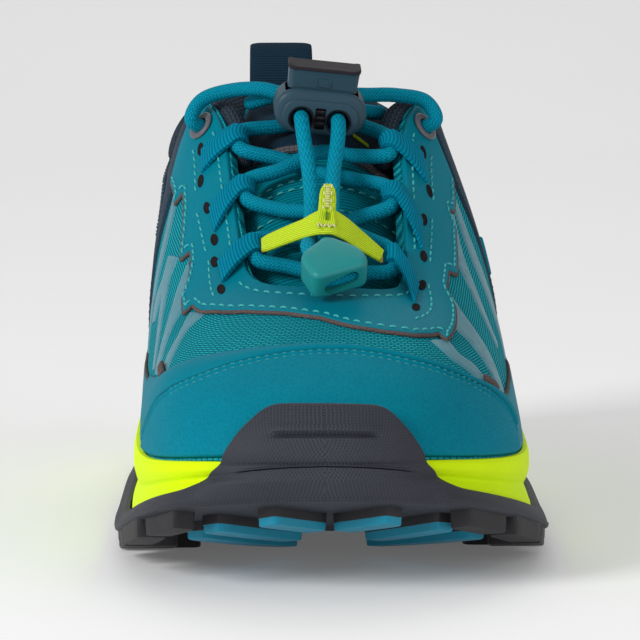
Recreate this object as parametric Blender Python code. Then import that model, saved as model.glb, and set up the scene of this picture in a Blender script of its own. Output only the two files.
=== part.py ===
"""Child's low hiking shoe for the left foot, as an assembly of its sewn, moulded and laced pieces.

Frame: +Z up from the floor, the toe towards -Y, the outer side of the foot towards +X.
The origin lies on the floor under the middle of the sole. Lengths are metres.
"""

import math
from collections import namedtuple

import bmesh
import bpy
import numpy as np

MM = 0.001

# Driving sizes
LENGTH = 228 * MM
BALL_WIDTH = 78 * MM
COLLAR_HEIGHT = 92 * MM
SOLE_AT_TOE = 28 * MM
SOLE_AT_BALL = 21.5 * MM
SOLE_AT_HEEL = 30 * MM
ARCH_RISE = 2.5 * MM
TOE_SPRING = 17 * MM
SPRING_CURVE = 1.35
HEEL_BEVEL = 3 * MM
LUG_HEIGHT = 3.4 * MM
TREAD_ARCH = 3 * MM
FLANGE_HEIGHT = 7 * MM
WALL = 2.2 * MM
GAP = 0.3 * MM

# Where the sole bends, as shares of the length counted from the toe
BALL_SHARE = 0.31
HEEL_SHARE = 0.84
BEVEL_SHARE = 0.90

COLUMNS = 48
END_CROWDING = 0.35
KNOTS = 10
UP = np.array([0.0, 0.0, 1.0])

# The last where the upper meets the sole: shares of the length from the toe, shares of half the ball
# width from the middle, on the outer (+X) and the inner (-X) side of the foot.
Feather = namedtuple("Feather", "name out_along out_across in_along in_across")
FEATHER = (
    Feather("toe tip", 0.0185, -0.140, 0.0185, -0.140),
    Feather("toe front", 0.034, 0.270, 0.034, -0.550),
    Feather("toe corner", 0.090, 0.630, 0.088, -0.840),
    Feather("toes", 0.190, 0.900, 0.188, -0.975),
    Feather("ball", 0.325, 1.000, 0.312, -1.017),
    Feather("behind the ball", 0.440, 1.018, 0.420, -1.000),
    Feather("waist", 0.556, 0.980, 0.528, -0.955),
    Feather("arch end", 0.675, 0.850, 0.644, -0.920),
    Feather("heel side", 0.790, 0.715, 0.775, -0.905),
    Feather("heel corner", 0.908, 0.450, 0.910, -0.730),
    Feather("heel tip", 0.9737, -0.150, 0.9737, -0.150),
)

# The edge of the opening, throat then collar: shares of length and half width as above, and shares
# of the collar's height.
Topline = namedtuple("Topline", "name out_along out_across out_height in_along in_across in_height")
TOPLINE = (
    Topline("throat base", 0.272, 0.000, 0.590, 0.272, 0.000, 0.590),
    Topline("throat base side", 0.268, 0.190, 0.588, 0.277, -0.210, 0.593),
    Topline("throat corner", 0.281, 0.340, 0.603, 0.296, -0.415, 0.612),
    Topline("lower loop", 0.338, 0.375, 0.690, 0.354, -0.480, 0.698),
    Topline("upper loop", 0.416, 0.397, 0.823, 0.430, -0.520, 0.830),
    Topline("top eyelet", 0.492, 0.440, 0.948, 0.504, -0.570, 0.950),
    Topline("collar front", 0.566, 0.630, 0.968, 0.578, -0.733, 0.968),
    Topline("ankle", 0.700, 0.745, 0.830, 0.706, -0.850, 0.830),
    Topline("behind the ankle", 0.816, 0.655, 0.848, 0.820, -0.840, 0.848),
    Topline("heel side top", 0.912, 0.330, 0.925, 0.914, -0.630, 0.925),
    Topline("heel top", 0.948, -0.160, 0.955, 0.948, -0.160, 0.955),
)

# How the wall leaves the sole and reaches the opening: lean outwards at the sole in degrees, pull of
# that lean, slope at the opening in degrees, and pull of that slope, as shares of the wall's height.
Wall = namedtuple("Wall", "name lean rise slope reach")
WALL_SHAPE = (
    Wall("toe tip", -6, 0.235, 14, 0.50),
    Wall("toe front", -5, 0.230, 16, 0.46),
    Wall("toe corner", -4, 0.230, 26, 0.40),
    Wall("toes", -3, 0.210, 37, 0.36),
    Wall("ball", -3, 0.215, 43, 0.33),
    Wall("behind the ball", 0, 0.255, 48, 0.33),
    Wall("waist", 6, 0.300, 68, 0.34),
    Wall("arch end", 10, 0.330, 82, 0.33),
    Wall("heel side", 10, 0.340, 86, 0.33),
    Wall("heel corner", 10, 0.340, 80, 0.34),
    Wall("heel tip", 12, 0.340, 74, 0.36),
)

# The midsole's side from its foot to its lip: share of its height, and how far it stands out from the
# upper in millimetres, in the open and behind the toe bumper.
MidsoleStep = namedtuple("MidsoleStep", "name share open_out hidden_out")
MIDSOLE_SIDE = (
    MidsoleStep("foot", 0.00, 2.4, 1.0),
    MidsoleStep("lower flare", 0.16, 2.3, 1.0),
    MidsoleStep("under the groove", 0.38, 1.0, 1.0),
    MidsoleStep("groove", 0.46, 0.6, 1.0),
    MidsoleStep("over the groove", 0.53, 1.3, 1.0),
    MidsoleStep("upper band", 0.72, 2.0, 1.0),
    MidsoleStep("lip side", 0.94, 1.9, 1.0),
    MidsoleStep("lip top", 1.04, 1.4, 0.9),
    MidsoleStep("lip inner edge", 1.05, 0.6, 0.5),
)
INSOLE_RECESS = 3 * MM
PLATE = 1.6 * MM

# The outsole's flange stands out this far at the tread's edge, along the sides and under the toe
TREAD_OUT = 6.0 * MM
TREAD_OUT_AT_TOE = 2.6 * MM

# The flange's lip laps onto the midsole and climbs at the toe into a bumper. Its climb counts 0 to 1
# up the midsole and 1 to 2 up the foot of the upper; its half widths are measured across the toe.
LIP_CLIMB = 0.22
BUMPER_CLIMB = 1.72
BUMPER_CENTRE = -5.0 * MM
BUMPER_FLAT = 6.5 * MM
BUMPER_END = 25.5 * MM
CLIMB_ON_UPPER = 0.30
BUMPER_THICK = 2.3 * MM
LIP_THICK = 1.5 * MM
LIP_EDGE = 0.9 * MM

OVERLAY_GAP = 0.42 * MM
OVERLAY_THICK = 0.9 * MM


# The toe cap's upper edge as a share of the wall, by knots from the toe tip, outer and inner side
CapEdge = namedtuple("CapEdge", "knot outer inner")
TOE_CAP_LOW = 0.055
TOE_CAP = (
    CapEdge(0.00, 0.585, 0.585),
    CapEdge(0.95, 0.490, 0.545),
    CapEdge(1.55, 0.425, 0.440),
    CapEdge(2.00, 0.360, 0.360),
    CapEdge(2.40, 0.275, 0.280),
    CapEdge(2.70, 0.190, 0.215),
    CapEdge(2.95, 0.085, 0.160),
    CapEdge(3.25, 0.085, 0.085),
)
TOE_CAP_OUTER_END = 2.95
TOE_CAP_INNER_END = 3.25

# The eyestay's stepped outer edge as a share of the wall, by knots from the toe tip
EYESTAY = (
    CapEdge(0.00, 0.775, 0.775),
    CapEdge(0.50, 0.715, 0.810),
    CapEdge(1.10, 0.685, 0.830),
    CapEdge(1.65, 0.660, 0.820),
    CapEdge(1.85, 0.735, 0.805),
    CapEdge(2.40, 0.815, 0.745),
    CapEdge(2.85, 0.775, 0.665),
    CapEdge(3.05, 0.770, 0.695),
    CapEdge(3.55, 0.755, 0.640),
    CapEdge(3.75, 0.800, 0.700),
    CapEdge(4.30, 0.735, 0.660),
    CapEdge(4.70, 0.735, 0.635),
    CapEdge(4.90, 0.790, 0.700),
    CapEdge(5.40, 0.770, 0.680),
)
EYESTAY_END = 5.4

# Collar pad: its front ends in knots from the toe tip, then its section as millimetres down the wall
# from the edge of the opening and inwards from the wall's outer face.
COLLAR_START = 6.1
CollarPoint = namedtuple("CollarPoint", "down inward")
COLLAR_PAD = (
    CollarPoint(-0.5, 0.0),
    CollarPoint(-3.2, -0.2),
    CollarPoint(-5.6, 2.4),
    CollarPoint(-4.4, 6.0),
    CollarPoint(1.5, 8.2),
    CollarPoint(12.0, 6.6),
    CollarPoint(19.0, 3.4),
    CollarPoint(19.0, 3.1),
    CollarPoint(9.0, 3.1),
    CollarPoint(-0.5, 3.1),
)

# Tongue: the middle of its upper face along and above, its half width, the drop to its edges and its
# thickness in millimetres, and its slope in degrees.
TONGUE_CENTRE = -1.5 * MM
TongueRow = namedtuple("TongueRow", "along height half_width edge_drop thick slope")
TONGUE = (
    TongueRow(50, 45.8, 14, 4.0, 3.0, 25),
    TongueRow(61, 50.2, 16, 5.0, 3.6, 30),
    TongueRow(72, 56.0, 18, 6.0, 4.5, 35),
    TongueRow(88, 66.7, 19, 8.0, 5.0, 35),
    TongueRow(104, 77.6, 19, 8.5, 5.0, 35),
    TongueRow(116, 86.0, 18, 8.0, 5.0, 35),
    TongueRow(124, 91.6, 17, 7.0, 5.0, 34),
    TongueRow(130, 95.4, 15, 6.0, 4.0, 28),
)


# Edge lugs, on both sides: the middle and half length in knots, how far they stand out from the
# feather line and how far they reach inwards in millimetres.
Lug = namedtuple("Lug", "knot half out inward")
LUGS = (
    Lug(1.95, 0.24, 4.6, 0.5),
    Lug(2.65, 0.24, 5.4, 0.5),
    Lug(3.35, 0.26, 5.4, 6.0),
    Lug(4.05, 0.26, 5.4, 12.0),
    Lug(4.75, 0.26, 5.4, 14.0),
    Lug(7.10, 0.24, 5.4, 10.0),
    Lug(7.75, 0.24, 5.4, 12.0),
    Lug(8.40, 0.24, 5.4, 12.0),
    Lug(9.05, 0.24, 5.2, 8.0),
    Lug(9.65, 0.20, 4.6, 8.0),
)

# Chevron lugs: the ends of each arm, across and along from the toe in millimetres
Chevron = namedtuple("Chevron", "name in_x in_along out_x out_along")
CHEVRON_WIDTH = 5.2 * MM
CHEVRONS = (
    Chevron("chevron_1_inner", -5.2, 19.5, -16.0, 9.5),
    Chevron("chevron_1_outer", -1.2, 19.5, 9.0, 9.5),
    Chevron("chevron_2_inner", -9.2, 36.0, -26.5, 18.0),
    Chevron("chevron_2_outer", 6.0, 36.0, 19.5, 18.0),
    Chevron("chevron_3_inner", -9.5, 54.0, -29.5, 28.5),
    Chevron("chevron_3_outer", 7.0, 54.0, 27.0, 32.0),
)

# Pull loop: places along from the toe and above the floor in millimetres
LoopPoint = namedtuple("LoopPoint", "along height")
PULL_LOOP_X = -6.3
PULL_LOOP_WIDTH = 15 * MM
PULL_LOOP = (
    LoopPoint(220.6, 80.0),
    LoopPoint(220.0, 88.0),
    LoopPoint(219.4, 95.0),
    LoopPoint(216.0, 100.6),
    LoopPoint(209.0, 100.4),
    LoopPoint(205.2, 95.0),
    LoopPoint(204.6, 86.0),
)

# Top eyelets, in knots and shares of the wall
EYELET_KNOT = 5.2
EYELET_SHARE = 0.93
EYELET_HOLE = 4.4 * MM
EYELET_RING = 7.6 * MM

# Lacing. Places are across, along from the toe and above the floor, in millimetres.
CORD = 3.2 * MM
LOOP_THICK = 0.9 * MM
LOOP_NECK = 2.8 * MM
LOOP_BASE = 8.0 * MM
LOOP_REACH = 2.2 * MM
LOOP_LIFT = 1.2 * MM
LaceLoop = namedtuple("LaceLoop", "name knot")
LACE_LOOPS = (
    LaceLoop("lace_loop_1_outer", 4.40),
    LaceLoop("lace_loop_2_outer", 3.60),
    LaceLoop("lace_loop_3_outer", 2.50),
    LaceLoop("lace_loop_1_inner", -4.45),
    LaceLoop("lace_loop_2_inner", -3.65),
    LaceLoop("lace_loop_3_inner", -2.62),
)
LACE = (
    (-16.0, 119.0, 90.6),
    (-9.0, 116.0, 92.6),
    (-2.0, 113.6, 91.4),
    (6.5, 111.2, 86.6),
    (13.2, 105.0, 83.8),
    (13.2, 99.6, 80.2),
    (6.0, 99.6, 79.9),
    (-2.0, 98.4, 80.7),
    (-10.0, 95.9, 77.2),
    (-17.4, 94.7, 74.9),
    (-17.4, 89.3, 71.2),
    (-10.0, 86.0, 69.2),
    (-2.0, 81.0, 68.8),
    (5.5, 75.8, 64.6),
    (11.8, 72.2, 61.8),
    (11.8, 66.9, 58.0),
    (5.5, 66.9, 57.4),
    (-2.0, 68.4, 57.2),
    (-9.0, 70.8, 58.4),
    (-15.8, 72.4, 59.9),
    (-15.8, 77.8, 63.6),
    (-9.0, 79.2, 63.6),
    (-2.0, 81.2, 64.5),
    (5.0, 84.2, 67.4),
    (12.7, 84.9, 70.0),
    (12.7, 90.2, 73.6),
    (5.0, 94.4, 75.2),
    (-2.0, 98.8, 76.4),
    (-9.5, 101.8, 79.0),
    (-18.4, 103.5, 81.2),
    (-18.4, 108.9, 84.8),
    (-9.5, 112.0, 85.8),
    (-2.0, 115.2, 87.9),
    (6.0, 117.4, 88.9),
    (12.4, 118.6, 88.4),
)
LACE_TOP_INNER = (
    (-5.6, 109.2, 90.6),
    (-8.0, 111.6, 92.2),
    (-13.5, 114.0, 93.8),
    (-20.5, 116.6, 93.4),
    (-26.6, 117.0, 91.4),
    (-29.1, 115.9, 87.2),
    (-26.1, 117.8, 85.0),
    (-23.5, 119.3, 83.2),
)
LACE_TOP_OUTER = (
    (2.3, 109.3, 90.2),
    (4.5, 111.0, 92.4),
    (10.0, 114.0, 92.5),
    (15.8, 115.0, 92.4),
    (22.0, 114.4, 91.2),
    (24.4, 112.8, 87.2),
    (21.3, 115.0, 84.9),
    (18.8, 116.7, 83.1),
)
TAIL_INNER = (
    (-5.6, 103.0, 88.9),
    (-5.6, 97.6, 87.4),
    (-5.2, 92.6, 83.2),
    (-4.6, 86.8, 78.2),
    (-4.3, 81.0, 73.2),
    (-4.4, 76.0, 69.0),
    (-4.8, 71.0, 65.6),
    (-5.4, 66.4, 63.8),
    (-5.7, 62.0, 63.3),
    (-5.2, 58.6, 62.3),
    (-4.3, 56.4, 61.5),
)
TAIL_OUTER = (
    (2.3, 103.0, 88.1),
    (2.3, 97.6, 86.6),
    (1.8, 92.6, 82.8),
    (0.8, 86.8, 78.0),
    (0.2, 81.0, 73.5),
    (-0.2, 76.0, 69.4),
    (-0.8, 71.0, 65.6),
    (-1.5, 66.4, 63.9),
    (-1.9, 62.4, 63.6),
    (-1.5, 59.6, 63.0),
    (-0.7, 57.8, 62.5),
)

# Cord lock: its middle, its width, depth and height, its tilt forward and its roll in degrees, then
# the button's sections as heights over the lock's middle, widths, depths and the dip of its saddle.
LOCK_CENTRE = (-1.5, 103.7, 90.1)
LOCK_SIZE = (19.8 * MM, 9.0 * MM, 9.8 * MM)
LOCK_TILT = 15
LOCK_ROLL = 6
LOCK_HOLE = 3.9 * MM
LOCK_HOLE_SPACING = 7.9 * MM
LOCK_HOLE_DROP = 1.4 * MM
ButtonRow = namedtuple("ButtonRow", "rise wide deep dip")
BUTTON = (
    ButtonRow(4.55, 15.0, 5.2, 0.0),
    ButtonRow(8.1, 15.2, 5.5, 0.0),
    ButtonRow(9.2, 15.5, 6.2, 0.0),
    ButtonRow(10.1, 15.7, 6.6, 1.1),
)

# Cord end: its middle, width, height and depth, its lean back and its roll in degrees
CORD_END_CENTRE = (-1.1, 54.5, 60.2)
CORD_END_SIZE = (13.4 * MM, 12.0 * MM, 6.6 * MM)
CORD_END_LEAN = 55
CORD_END_ROLL = 24

# Keeper: the strap across and the upright loop
KEEPER_STRAP = (
    (-12.6, 71.4, 63.4),
    (-10.6, 69.6, 65.6),
    (-7.6, 66.4, 67.9),
    (-1.8, 64.6, 68.5),
    (2.6, 64.9, 67.7),
    (5.8, 66.0, 65.4),
    (8.6, 67.0, 62.2),
)
KEEPER_HEAD = (
    (-1.7, 64.8, 68.4),
    (-1.4, 68.4, 72.0),
    (-1.1, 71.8, 75.2),
)

SIDE_TAB_KNOT = 5.75


def clear_scene():
    """Empties the scene of whatever objects it holds."""
    for obj in list(bpy.data.objects):
        bpy.data.objects.remove(obj, do_unlink=True)


def smooth_step(share):
    """Rises from 0 to 1 with level ends as the share goes from 0 to 1."""
    share = np.clip(share, 0.0, 1.0)
    return share * share * (3 - 2 * share)


def closed_spline(rows, knots):
    """Reads a smooth closed curve through evenly numbered rows at the given knot positions."""
    rows = np.asarray(rows, float)
    count = len(rows)
    one = np.eye(count)
    system = 4 * one + np.roll(one, 1, axis=0) + np.roll(one, -1, axis=0)
    second = np.roll(rows, -1, axis=0) - 2 * rows + np.roll(rows, 1, axis=0)
    bend = np.linalg.solve(system, 6 * second)
    knots = np.asarray(knots, float)
    first = np.floor(knots).astype(int) % count
    after = (first + 1) % count
    part = (knots - np.floor(knots)).reshape(knots.shape + (1,) * (rows.ndim - 1))
    rest = 1 - part
    straight = rows[first] * rest + rows[after] * part
    return straight + ((rest**3 - rest) * bend[first] + (part**3 - part) * bend[after]) / 6


def around(table, outer, inner):
    """Lists a table's columns once round the shoe: toe, outer side, heel, inner side."""
    there = [[getattr(row, name) for name in outer] for row in table]
    back = [[getattr(row, name) for name in inner] for row in table[-2:0:-1]]
    return np.array(there + back, float)


def across_along(rows):
    """Turns shares along and across into metres in the shoe's frame."""
    return np.stack([rows[:, 1] * BALL_WIDTH / 2, (rows[:, 0] - 0.5) * LENGTH], axis=1)


def share_along(y):
    """The share of the length, from the toe, of a place along the shoe."""
    return y / LENGTH + 0.5


def ground_height(y):
    """The height of the tread's lowest surface: toe spring in front, a bevel at the heel."""
    share = share_along(y)
    toe = np.clip((BALL_SHARE - share) / BALL_SHARE, 0, 1) ** SPRING_CURVE * TOE_SPRING
    heel = np.clip((share - BEVEL_SHARE) / (1 - BEVEL_SHARE), 0, 1) ** 2 * HEEL_BEVEL
    return toe + heel


def bite_height(knots, y):
    """The height of the line where the upper goes into the sole, with the arch lifted inside."""
    share = share_along(y)
    toe = np.clip((BALL_SHARE - share) / BALL_SHARE, 0, 1) ** 2 * (SOLE_AT_TOE - SOLE_AT_BALL)
    heel = smooth_step((share - BALL_SHARE) / (HEEL_SHARE - BALL_SHARE)) * (SOLE_AT_HEEL - SOLE_AT_BALL)
    inside = np.clip(-np.sin(np.pi * np.asarray(knots) / KNOTS), 0, 1)
    arch = np.exp(-(((share - 0.54) / 0.13) ** 2)) * inside * ARCH_RISE
    return SOLE_AT_BALL + toe + heel + arch


def feather_line(knots):
    """The upper's outer foot on the sole, at the given knots round the shoe."""
    rows = across_along(around(FEATHER, ("out_along", "out_across"), ("in_along", "in_across")))
    plan = closed_spline(rows, knots)
    return np.column_stack([plan, bite_height(knots, plan[:, 1])])


def outward(knots):
    """The level direction that points away from the shoe, square to the feather line."""
    step = 0.01
    ahead = feather_line(np.asarray(knots) + step) - feather_line(np.asarray(knots) - step)
    flat = np.column_stack([-ahead[:, 1], ahead[:, 0], np.zeros(len(ahead))])
    return -flat / np.linalg.norm(flat, axis=1, keepdims=True)


def topline(knots):
    """The edge of the throat and collar at the given knots."""
    rows = around(
        TOPLINE,
        ("out_along", "out_across", "out_height"),
        ("in_along", "in_across", "in_height"),
    )
    places = np.column_stack([across_along(rows), rows[:, 2] * COLLAR_HEIGHT])
    return closed_spline(places, knots)


def wall_points(knots, shares):
    """The upper's outer face: knots round the shoe by shares from the sole to the opening."""
    knots = np.asarray(knots, float)
    names = ("lean", "rise", "slope", "reach")
    lean, rise, slope, reach = closed_spline(around(WALL_SHAPE, names, names), knots).T
    foot, edge, away = feather_line(knots), topline(knots), outward(knots)
    height = np.linalg.norm(edge - foot, axis=1)
    lean, slope = np.radians(lean), np.radians(slope)
    leave = np.cos(lean)[:, None] * UP + np.sin(lean)[:, None] * away
    arrive = np.cos(slope)[:, None] * away - np.sin(slope)[:, None] * UP
    first = foot + (rise * height)[:, None] * leave
    second = edge + (reach * height)[:, None] * arrive
    s = np.broadcast_to(np.asarray(shares, float), (len(knots), np.shape(shares)[-1]))[..., None]
    corners = [c[:, None, :] for c in (foot, first, second, edge)]
    weights = ((1 - s) ** 3, 3 * s * (1 - s) ** 2, 3 * s * s * (1 - s), s**3)
    return sum(w * c for w, c in zip(weights, corners))


def wall_normals(knots, shares):
    """The outward direction square to the upper's face, at the same places as wall_points."""
    step = 0.004
    knots = np.asarray(knots, float)
    shares = np.broadcast_to(np.asarray(shares, float), (len(knots), np.shape(shares)[-1]))
    round_the_shoe = wall_points(knots + step, shares) - wall_points(knots - step, shares)
    low, high = np.clip(shares - step, 0, 1), np.clip(shares + step, 0, 1)
    up_the_wall = wall_points(knots, high) - wall_points(knots, low)
    normal = np.cross(round_the_shoe, up_the_wall)
    return normal / np.linalg.norm(normal, axis=2, keepdims=True)


def wall_offset(knots, shares, out):
    """The upper's face moved outwards by a distance."""
    return wall_points(knots, shares) + wall_normals(knots, shares) * out


def add_object(name, vertices, faces, material):
    """Makes a mesh object whose faces point out, shaded smooth with its sharp edges kept."""
    mesh = bpy.data.meshes.new(name)
    mesh.from_pydata([tuple(v) for v in vertices], [], [tuple(int(i) for i in f) for f in faces])
    work = bmesh.new()
    work.from_mesh(mesh)
    bmesh.ops.recalc_face_normals(work, faces=work.faces)
    work.to_mesh(mesh)
    work.free()
    mesh.shade_smooth()
    mesh.set_sharp_from_angle(angle=math.radians(40))
    mesh.materials.append(material)
    obj = bpy.data.objects.new(name, mesh)
    bpy.context.scene.collection.objects.link(obj)
    return obj


def grid_faces(rows, columns, first=0, wrap_rows=False):
    """The quads of a grid of points numbered row by row."""
    faces = []
    for i in range(rows if wrap_rows else rows - 1):
        here, there = first + i * columns, first + (i + 1) % rows * columns
        for j in range(columns - 1):
            faces.append((here + j, there + j, there + j + 1, here + j + 1))
    return faces


def sheet_solid(name, outer, inner, material, wrap=False):
    """A wall between two grids of points, closed along every open edge."""
    rows, columns = outer.shape[:2]
    count = rows * columns
    faces = grid_faces(rows, columns, 0, wrap) + grid_faces(rows, columns, count, wrap)
    for i in range(rows if wrap else rows - 1):
        after = (i + 1) % rows
        for j in (0, columns - 1):
            a, b = i * columns + j, after * columns + j
            faces.append((a, b, b + count, a + count))
    if not wrap:
        for i in (0, rows - 1):
            for j in range(columns - 1):
                a, b = i * columns + j, i * columns + j + 1
                faces.append((a, b, b + count, a + count))
    return add_object(name, np.concatenate([outer.reshape(-1, 3), inner.reshape(-1, 3)]), faces, material)


def swept_solid(name, sections, material, wrap=False):
    """A solid through closed sections of equal point counts, with flat ends unless it wraps."""
    sections = np.asarray(sections)
    rows, columns = sections.shape[:2]
    faces = []
    for i in range(rows if wrap else rows - 1):
        after = (i + 1) % rows
        for j in range(columns):
            k = (j + 1) % columns
            faces.append((i * columns + j, i * columns + k, after * columns + k, after * columns + j))
    if not wrap:
        faces.append(tuple(range(columns)))
        faces.append(tuple(range((rows - 1) * columns, rows * columns)))
    return add_object(name, sections.reshape(-1, 3), faces, material)


def bridge_across(loop, lanes, first_index, loop_start):
    """Points and faces that close a loop round the shoe, lane by lane from one side to the other."""
    count = len(loop)
    half = count // 2
    share = np.arange(1, lanes)[:, None] / lanes
    points = []
    rows = [[loop_start] * (lanes + 1)]
    for i in range(1, half):
        near, far = loop[i], loop[count - i]
        start = first_index + len(points)
        points.extend(near * (1 - share) + far * share)
        rows.append([loop_start + i, *range(start, start + lanes - 1), loop_start + count - i])
    rows.append([loop_start + half] * (lanes + 1))
    faces = []
    for here, there in zip(rows, rows[1:]):
        for j in range(lanes):
            corners = [here[j], here[j + 1], there[j + 1], there[j]]
            faces.append(tuple(dict.fromkeys(corners)))
    return points, faces


def ring_solid(name, loops, lanes, material):
    """A solid whose loops run round the shoe from its upper face, over its side, to its lower face."""
    loops = np.asarray(loops)
    count, columns = loops.shape[:2]
    vertices = list(loops.reshape(-1, 3))
    faces = []
    for i in range(count - 1):
        for j in range(columns):
            k = (j + 1) % columns
            faces.append((i * columns + j, (i + 1) * columns + j, (i + 1) * columns + k, i * columns + k))
    for loop_index in (0, count - 1):
        points, more = bridge_across(loops[loop_index], lanes, len(vertices), loop_index * columns)
        vertices.extend(points)
        faces.extend(more)
    return add_object(name, vertices, faces, material)


def make_material(name, colour, roughness, metallic=0.0):
    """A plain coloured finish."""
    material = bpy.data.materials.new(name)
    material.use_nodes = True
    shader = material.node_tree.nodes["Principled BSDF"]
    shader.inputs["Base Color"].default_value = (*colour, 1.0)
    shader.inputs["Roughness"].default_value = roughness
    shader.inputs["Metallic"].default_value = metallic
    return material


def all_knots(columns=COLUMNS):
    """Knots once round the shoe, closer together at toe and heel, alike on the two sides."""
    even = np.arange(columns) / columns
    return 2 * KNOTS * (even - END_CROWDING * np.sin(4 * np.pi * even) / (4 * np.pi))


def knots_between(first, last):
    """The upper's own knots along one stretch of the shoe, with the stretch's two ends."""
    knots = np.concatenate([all_knots() - 2 * KNOTS, all_knots()])
    inside = knots[(knots > first + 0.08) & (knots < last - 0.08)]
    return np.concatenate([[first], inside, [last]])


def bumper_share(knots):
    """1 at the middle of the toe bumper, falling smoothly to 0 where it meets the flange."""
    x, y = feather_line(knots)[:, :2].T
    off = np.abs(x - BUMPER_CENTRE)
    across = smooth_step((BUMPER_END - off) / (BUMPER_END - BUMPER_FLAT))
    return np.where(share_along(y) < 0.5, across, 0.0)


def joint_height(y):
    """Where the midsole stands on the outsole's flange."""
    return tread_height(y) + FLANGE_HEIGHT - LUG_HEIGHT


def midsole_face(knots, share, extra=0.0):
    """A loop on the midsole's side at a share of its height, recessed behind the toe bumper."""
    foot, away = feather_line(knots), outward(knots)
    under = bumper_share(knots)
    steps = [row.share for row in MIDSOLE_SIDE]
    in_the_open = np.interp(share, steps, [row.open_out for row in MIDSOLE_SIDE])
    hidden = np.interp(share, steps, [row.hidden_out for row in MIDSOLE_SIDE])
    out = (in_the_open * (1 - under) + hidden * under) * MM + extra
    height = np.where(share > 1, 1 + (share - 1) * (1 - under), share)
    loop = foot + out[:, None] * away
    low = joint_height(loop[:, 1])
    loop[:, 2] = low + (foot[:, 2] - low) * height
    return loop


def tray_height(y):
    """The floor of the outsole's tray, in which the midsole's foot stands."""
    return tread_height(y) + PLATE


def tread_height(y):
    """The underside of the outsole between its lugs, lifted under the arch."""
    share = share_along(y)
    arch = smooth_step((share - 0.40) / 0.14) * smooth_step((0.72 - share) / 0.14)
    return ground_height(y) + LUG_HEIGHT + arch * TREAD_ARCH


def climb(knots, heights, out):
    """Loop points over the midsole's side and the upper's foot, moved outwards by a distance."""
    on_midsole = midsole_face(knots, np.minimum(heights, 1.0), out)
    shares = (np.maximum(heights, 1.0) - 1.0) * CLIMB_ON_UPPER
    base = OVERLAY_GAP + OVERLAY_THICK + 2.4 * GAP
    on_upper = wall_offset(knots, shares[:, None], (base + out)[:, None, None])[:, 0]
    return np.where((heights > 1.0)[:, None], on_upper, on_midsole)


def inset_loop(knots, inset, height):
    """A loop inside the feather line, its height read from points that carry the sole's height."""
    foot = feather_line(knots)
    loop = foot - np.reshape(inset, (-1, 1)) * outward(knots)
    loop[:, 2] = height(loop)
    return loop


def build_midsole(material):
    """The foam midsole: a sculpted side with a groove, a recess for the insole, a foot in the outsole."""
    knots = all_knots()
    loops = [
        inset_loop(knots, WALL + 2.4 * MM, lambda foot: foot[:, 2] - INSOLE_RECESS),
        inset_loop(knots, WALL + 1.2 * MM, lambda foot: foot[:, 2] - GAP),
    ]
    loops.append(inset_loop(knots, -0.3 * MM, lambda foot: foot[:, 2] - GAP))
    for step in MIDSOLE_SIDE[::-1]:
        loops.append(midsole_face(knots, step.share))
    loops.append(inset_loop(knots, 0.2 * MM, lambda foot: joint_height(foot[:, 1])))
    loops.append(inset_loop(knots, 0.8 * MM, lambda foot: tray_height(foot[:, 1]) + 1.5 * GAP))
    return ring_solid("midsole", loops, 4, material)


def build_upper(material):
    """The upper: one hollow wall from the sole to the edge of throat and collar."""
    knots = all_knots()
    shares = np.linspace(0, 1, 8)
    outer = wall_points(knots, shares)
    inner = wall_offset(knots, shares, -WALL)
    inner[:, 0, 2] = outer[:, 0, 2]
    return sheet_solid("upper", outer, inner, material, wrap=True)


def build_outsole(material):
    """The rubber outsole: tray, flange and lip, with the lip climbing the toe as a bumper."""
    knots = all_knots()
    under = bumper_share(knots)
    top = LIP_CLIMB + (BUMPER_CLIMB - LIP_CLIMB) * under
    thick = LIP_THICK + (BUMPER_THICK - LIP_THICK) * under
    edge = LIP_EDGE + 0.3 * MM * under
    gap = 1.5 * GAP + 0.5 * MM * under + 0.9 * MM * under * (1 - under)
    loops = [
        inset_loop(knots, 0.4 * MM, lambda foot: tray_height(foot[:, 1])),
        inset_loop(knots, -0.2 * MM, lambda foot: joint_height(foot[:, 1]) - 1.5 * GAP),
    ]
    corner = midsole_face(knots, 0.0, 1.5 * GAP)
    corner[:, 2] -= 1.5 * GAP
    loops.append(corner)
    for share in (0.35, 0.7, 1.0):
        loops.append(climb(knots, top * share, gap))
    for share in (0.97, 0.7, 0.35, 0.0):
        loops.append(climb(knots, top * share, gap + edge + (thick - edge) * (1 - share)))
    out = TREAD_OUT + (TREAD_OUT_AT_TOE - TREAD_OUT) * under
    loops.append(inset_loop(knots, -out, lambda foot: tread_height(foot[:, 1]) + 0.8 * MM))
    loops.append(inset_loop(knots, -out + 1.0 * MM, lambda foot: tread_height(foot[:, 1])))
    return ring_solid("outsole", loops, 4, material)


def build_insole(material):
    """The insole lying in the midsole's recess."""
    knots = all_knots(COLUMNS // 2)
    loops = [
        inset_loop(knots, 5.0 * MM, lambda foot: foot[:, 2] + 1.4 * MM),
        inset_loop(knots, 4.0 * MM, lambda foot: foot[:, 2] + 0.9 * MM),
        inset_loop(knots, 4.2 * MM, lambda foot: foot[:, 2] + 0.2 * MM),
        inset_loop(knots, 5.9 * MM, lambda foot: foot[:, 2] - INSOLE_RECESS + 1.5 * GAP),
    ]
    return ring_solid("insole", loops, 4, material)


def overlay(name, knots, low, high, rows, material, out=OVERLAY_GAP, thick=OVERLAY_THICK):
    """A piece lying on the upper between two lines of shares, one value of each at every knot."""
    share = np.linspace(0, 1, rows)
    shares = low[:, None] * (1 - share) + high[:, None] * share
    outer = wall_offset(knots, shares, out + thick)
    inner = wall_offset(knots, shares, out)
    return sheet_solid(name, outer, inner, material)


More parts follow.
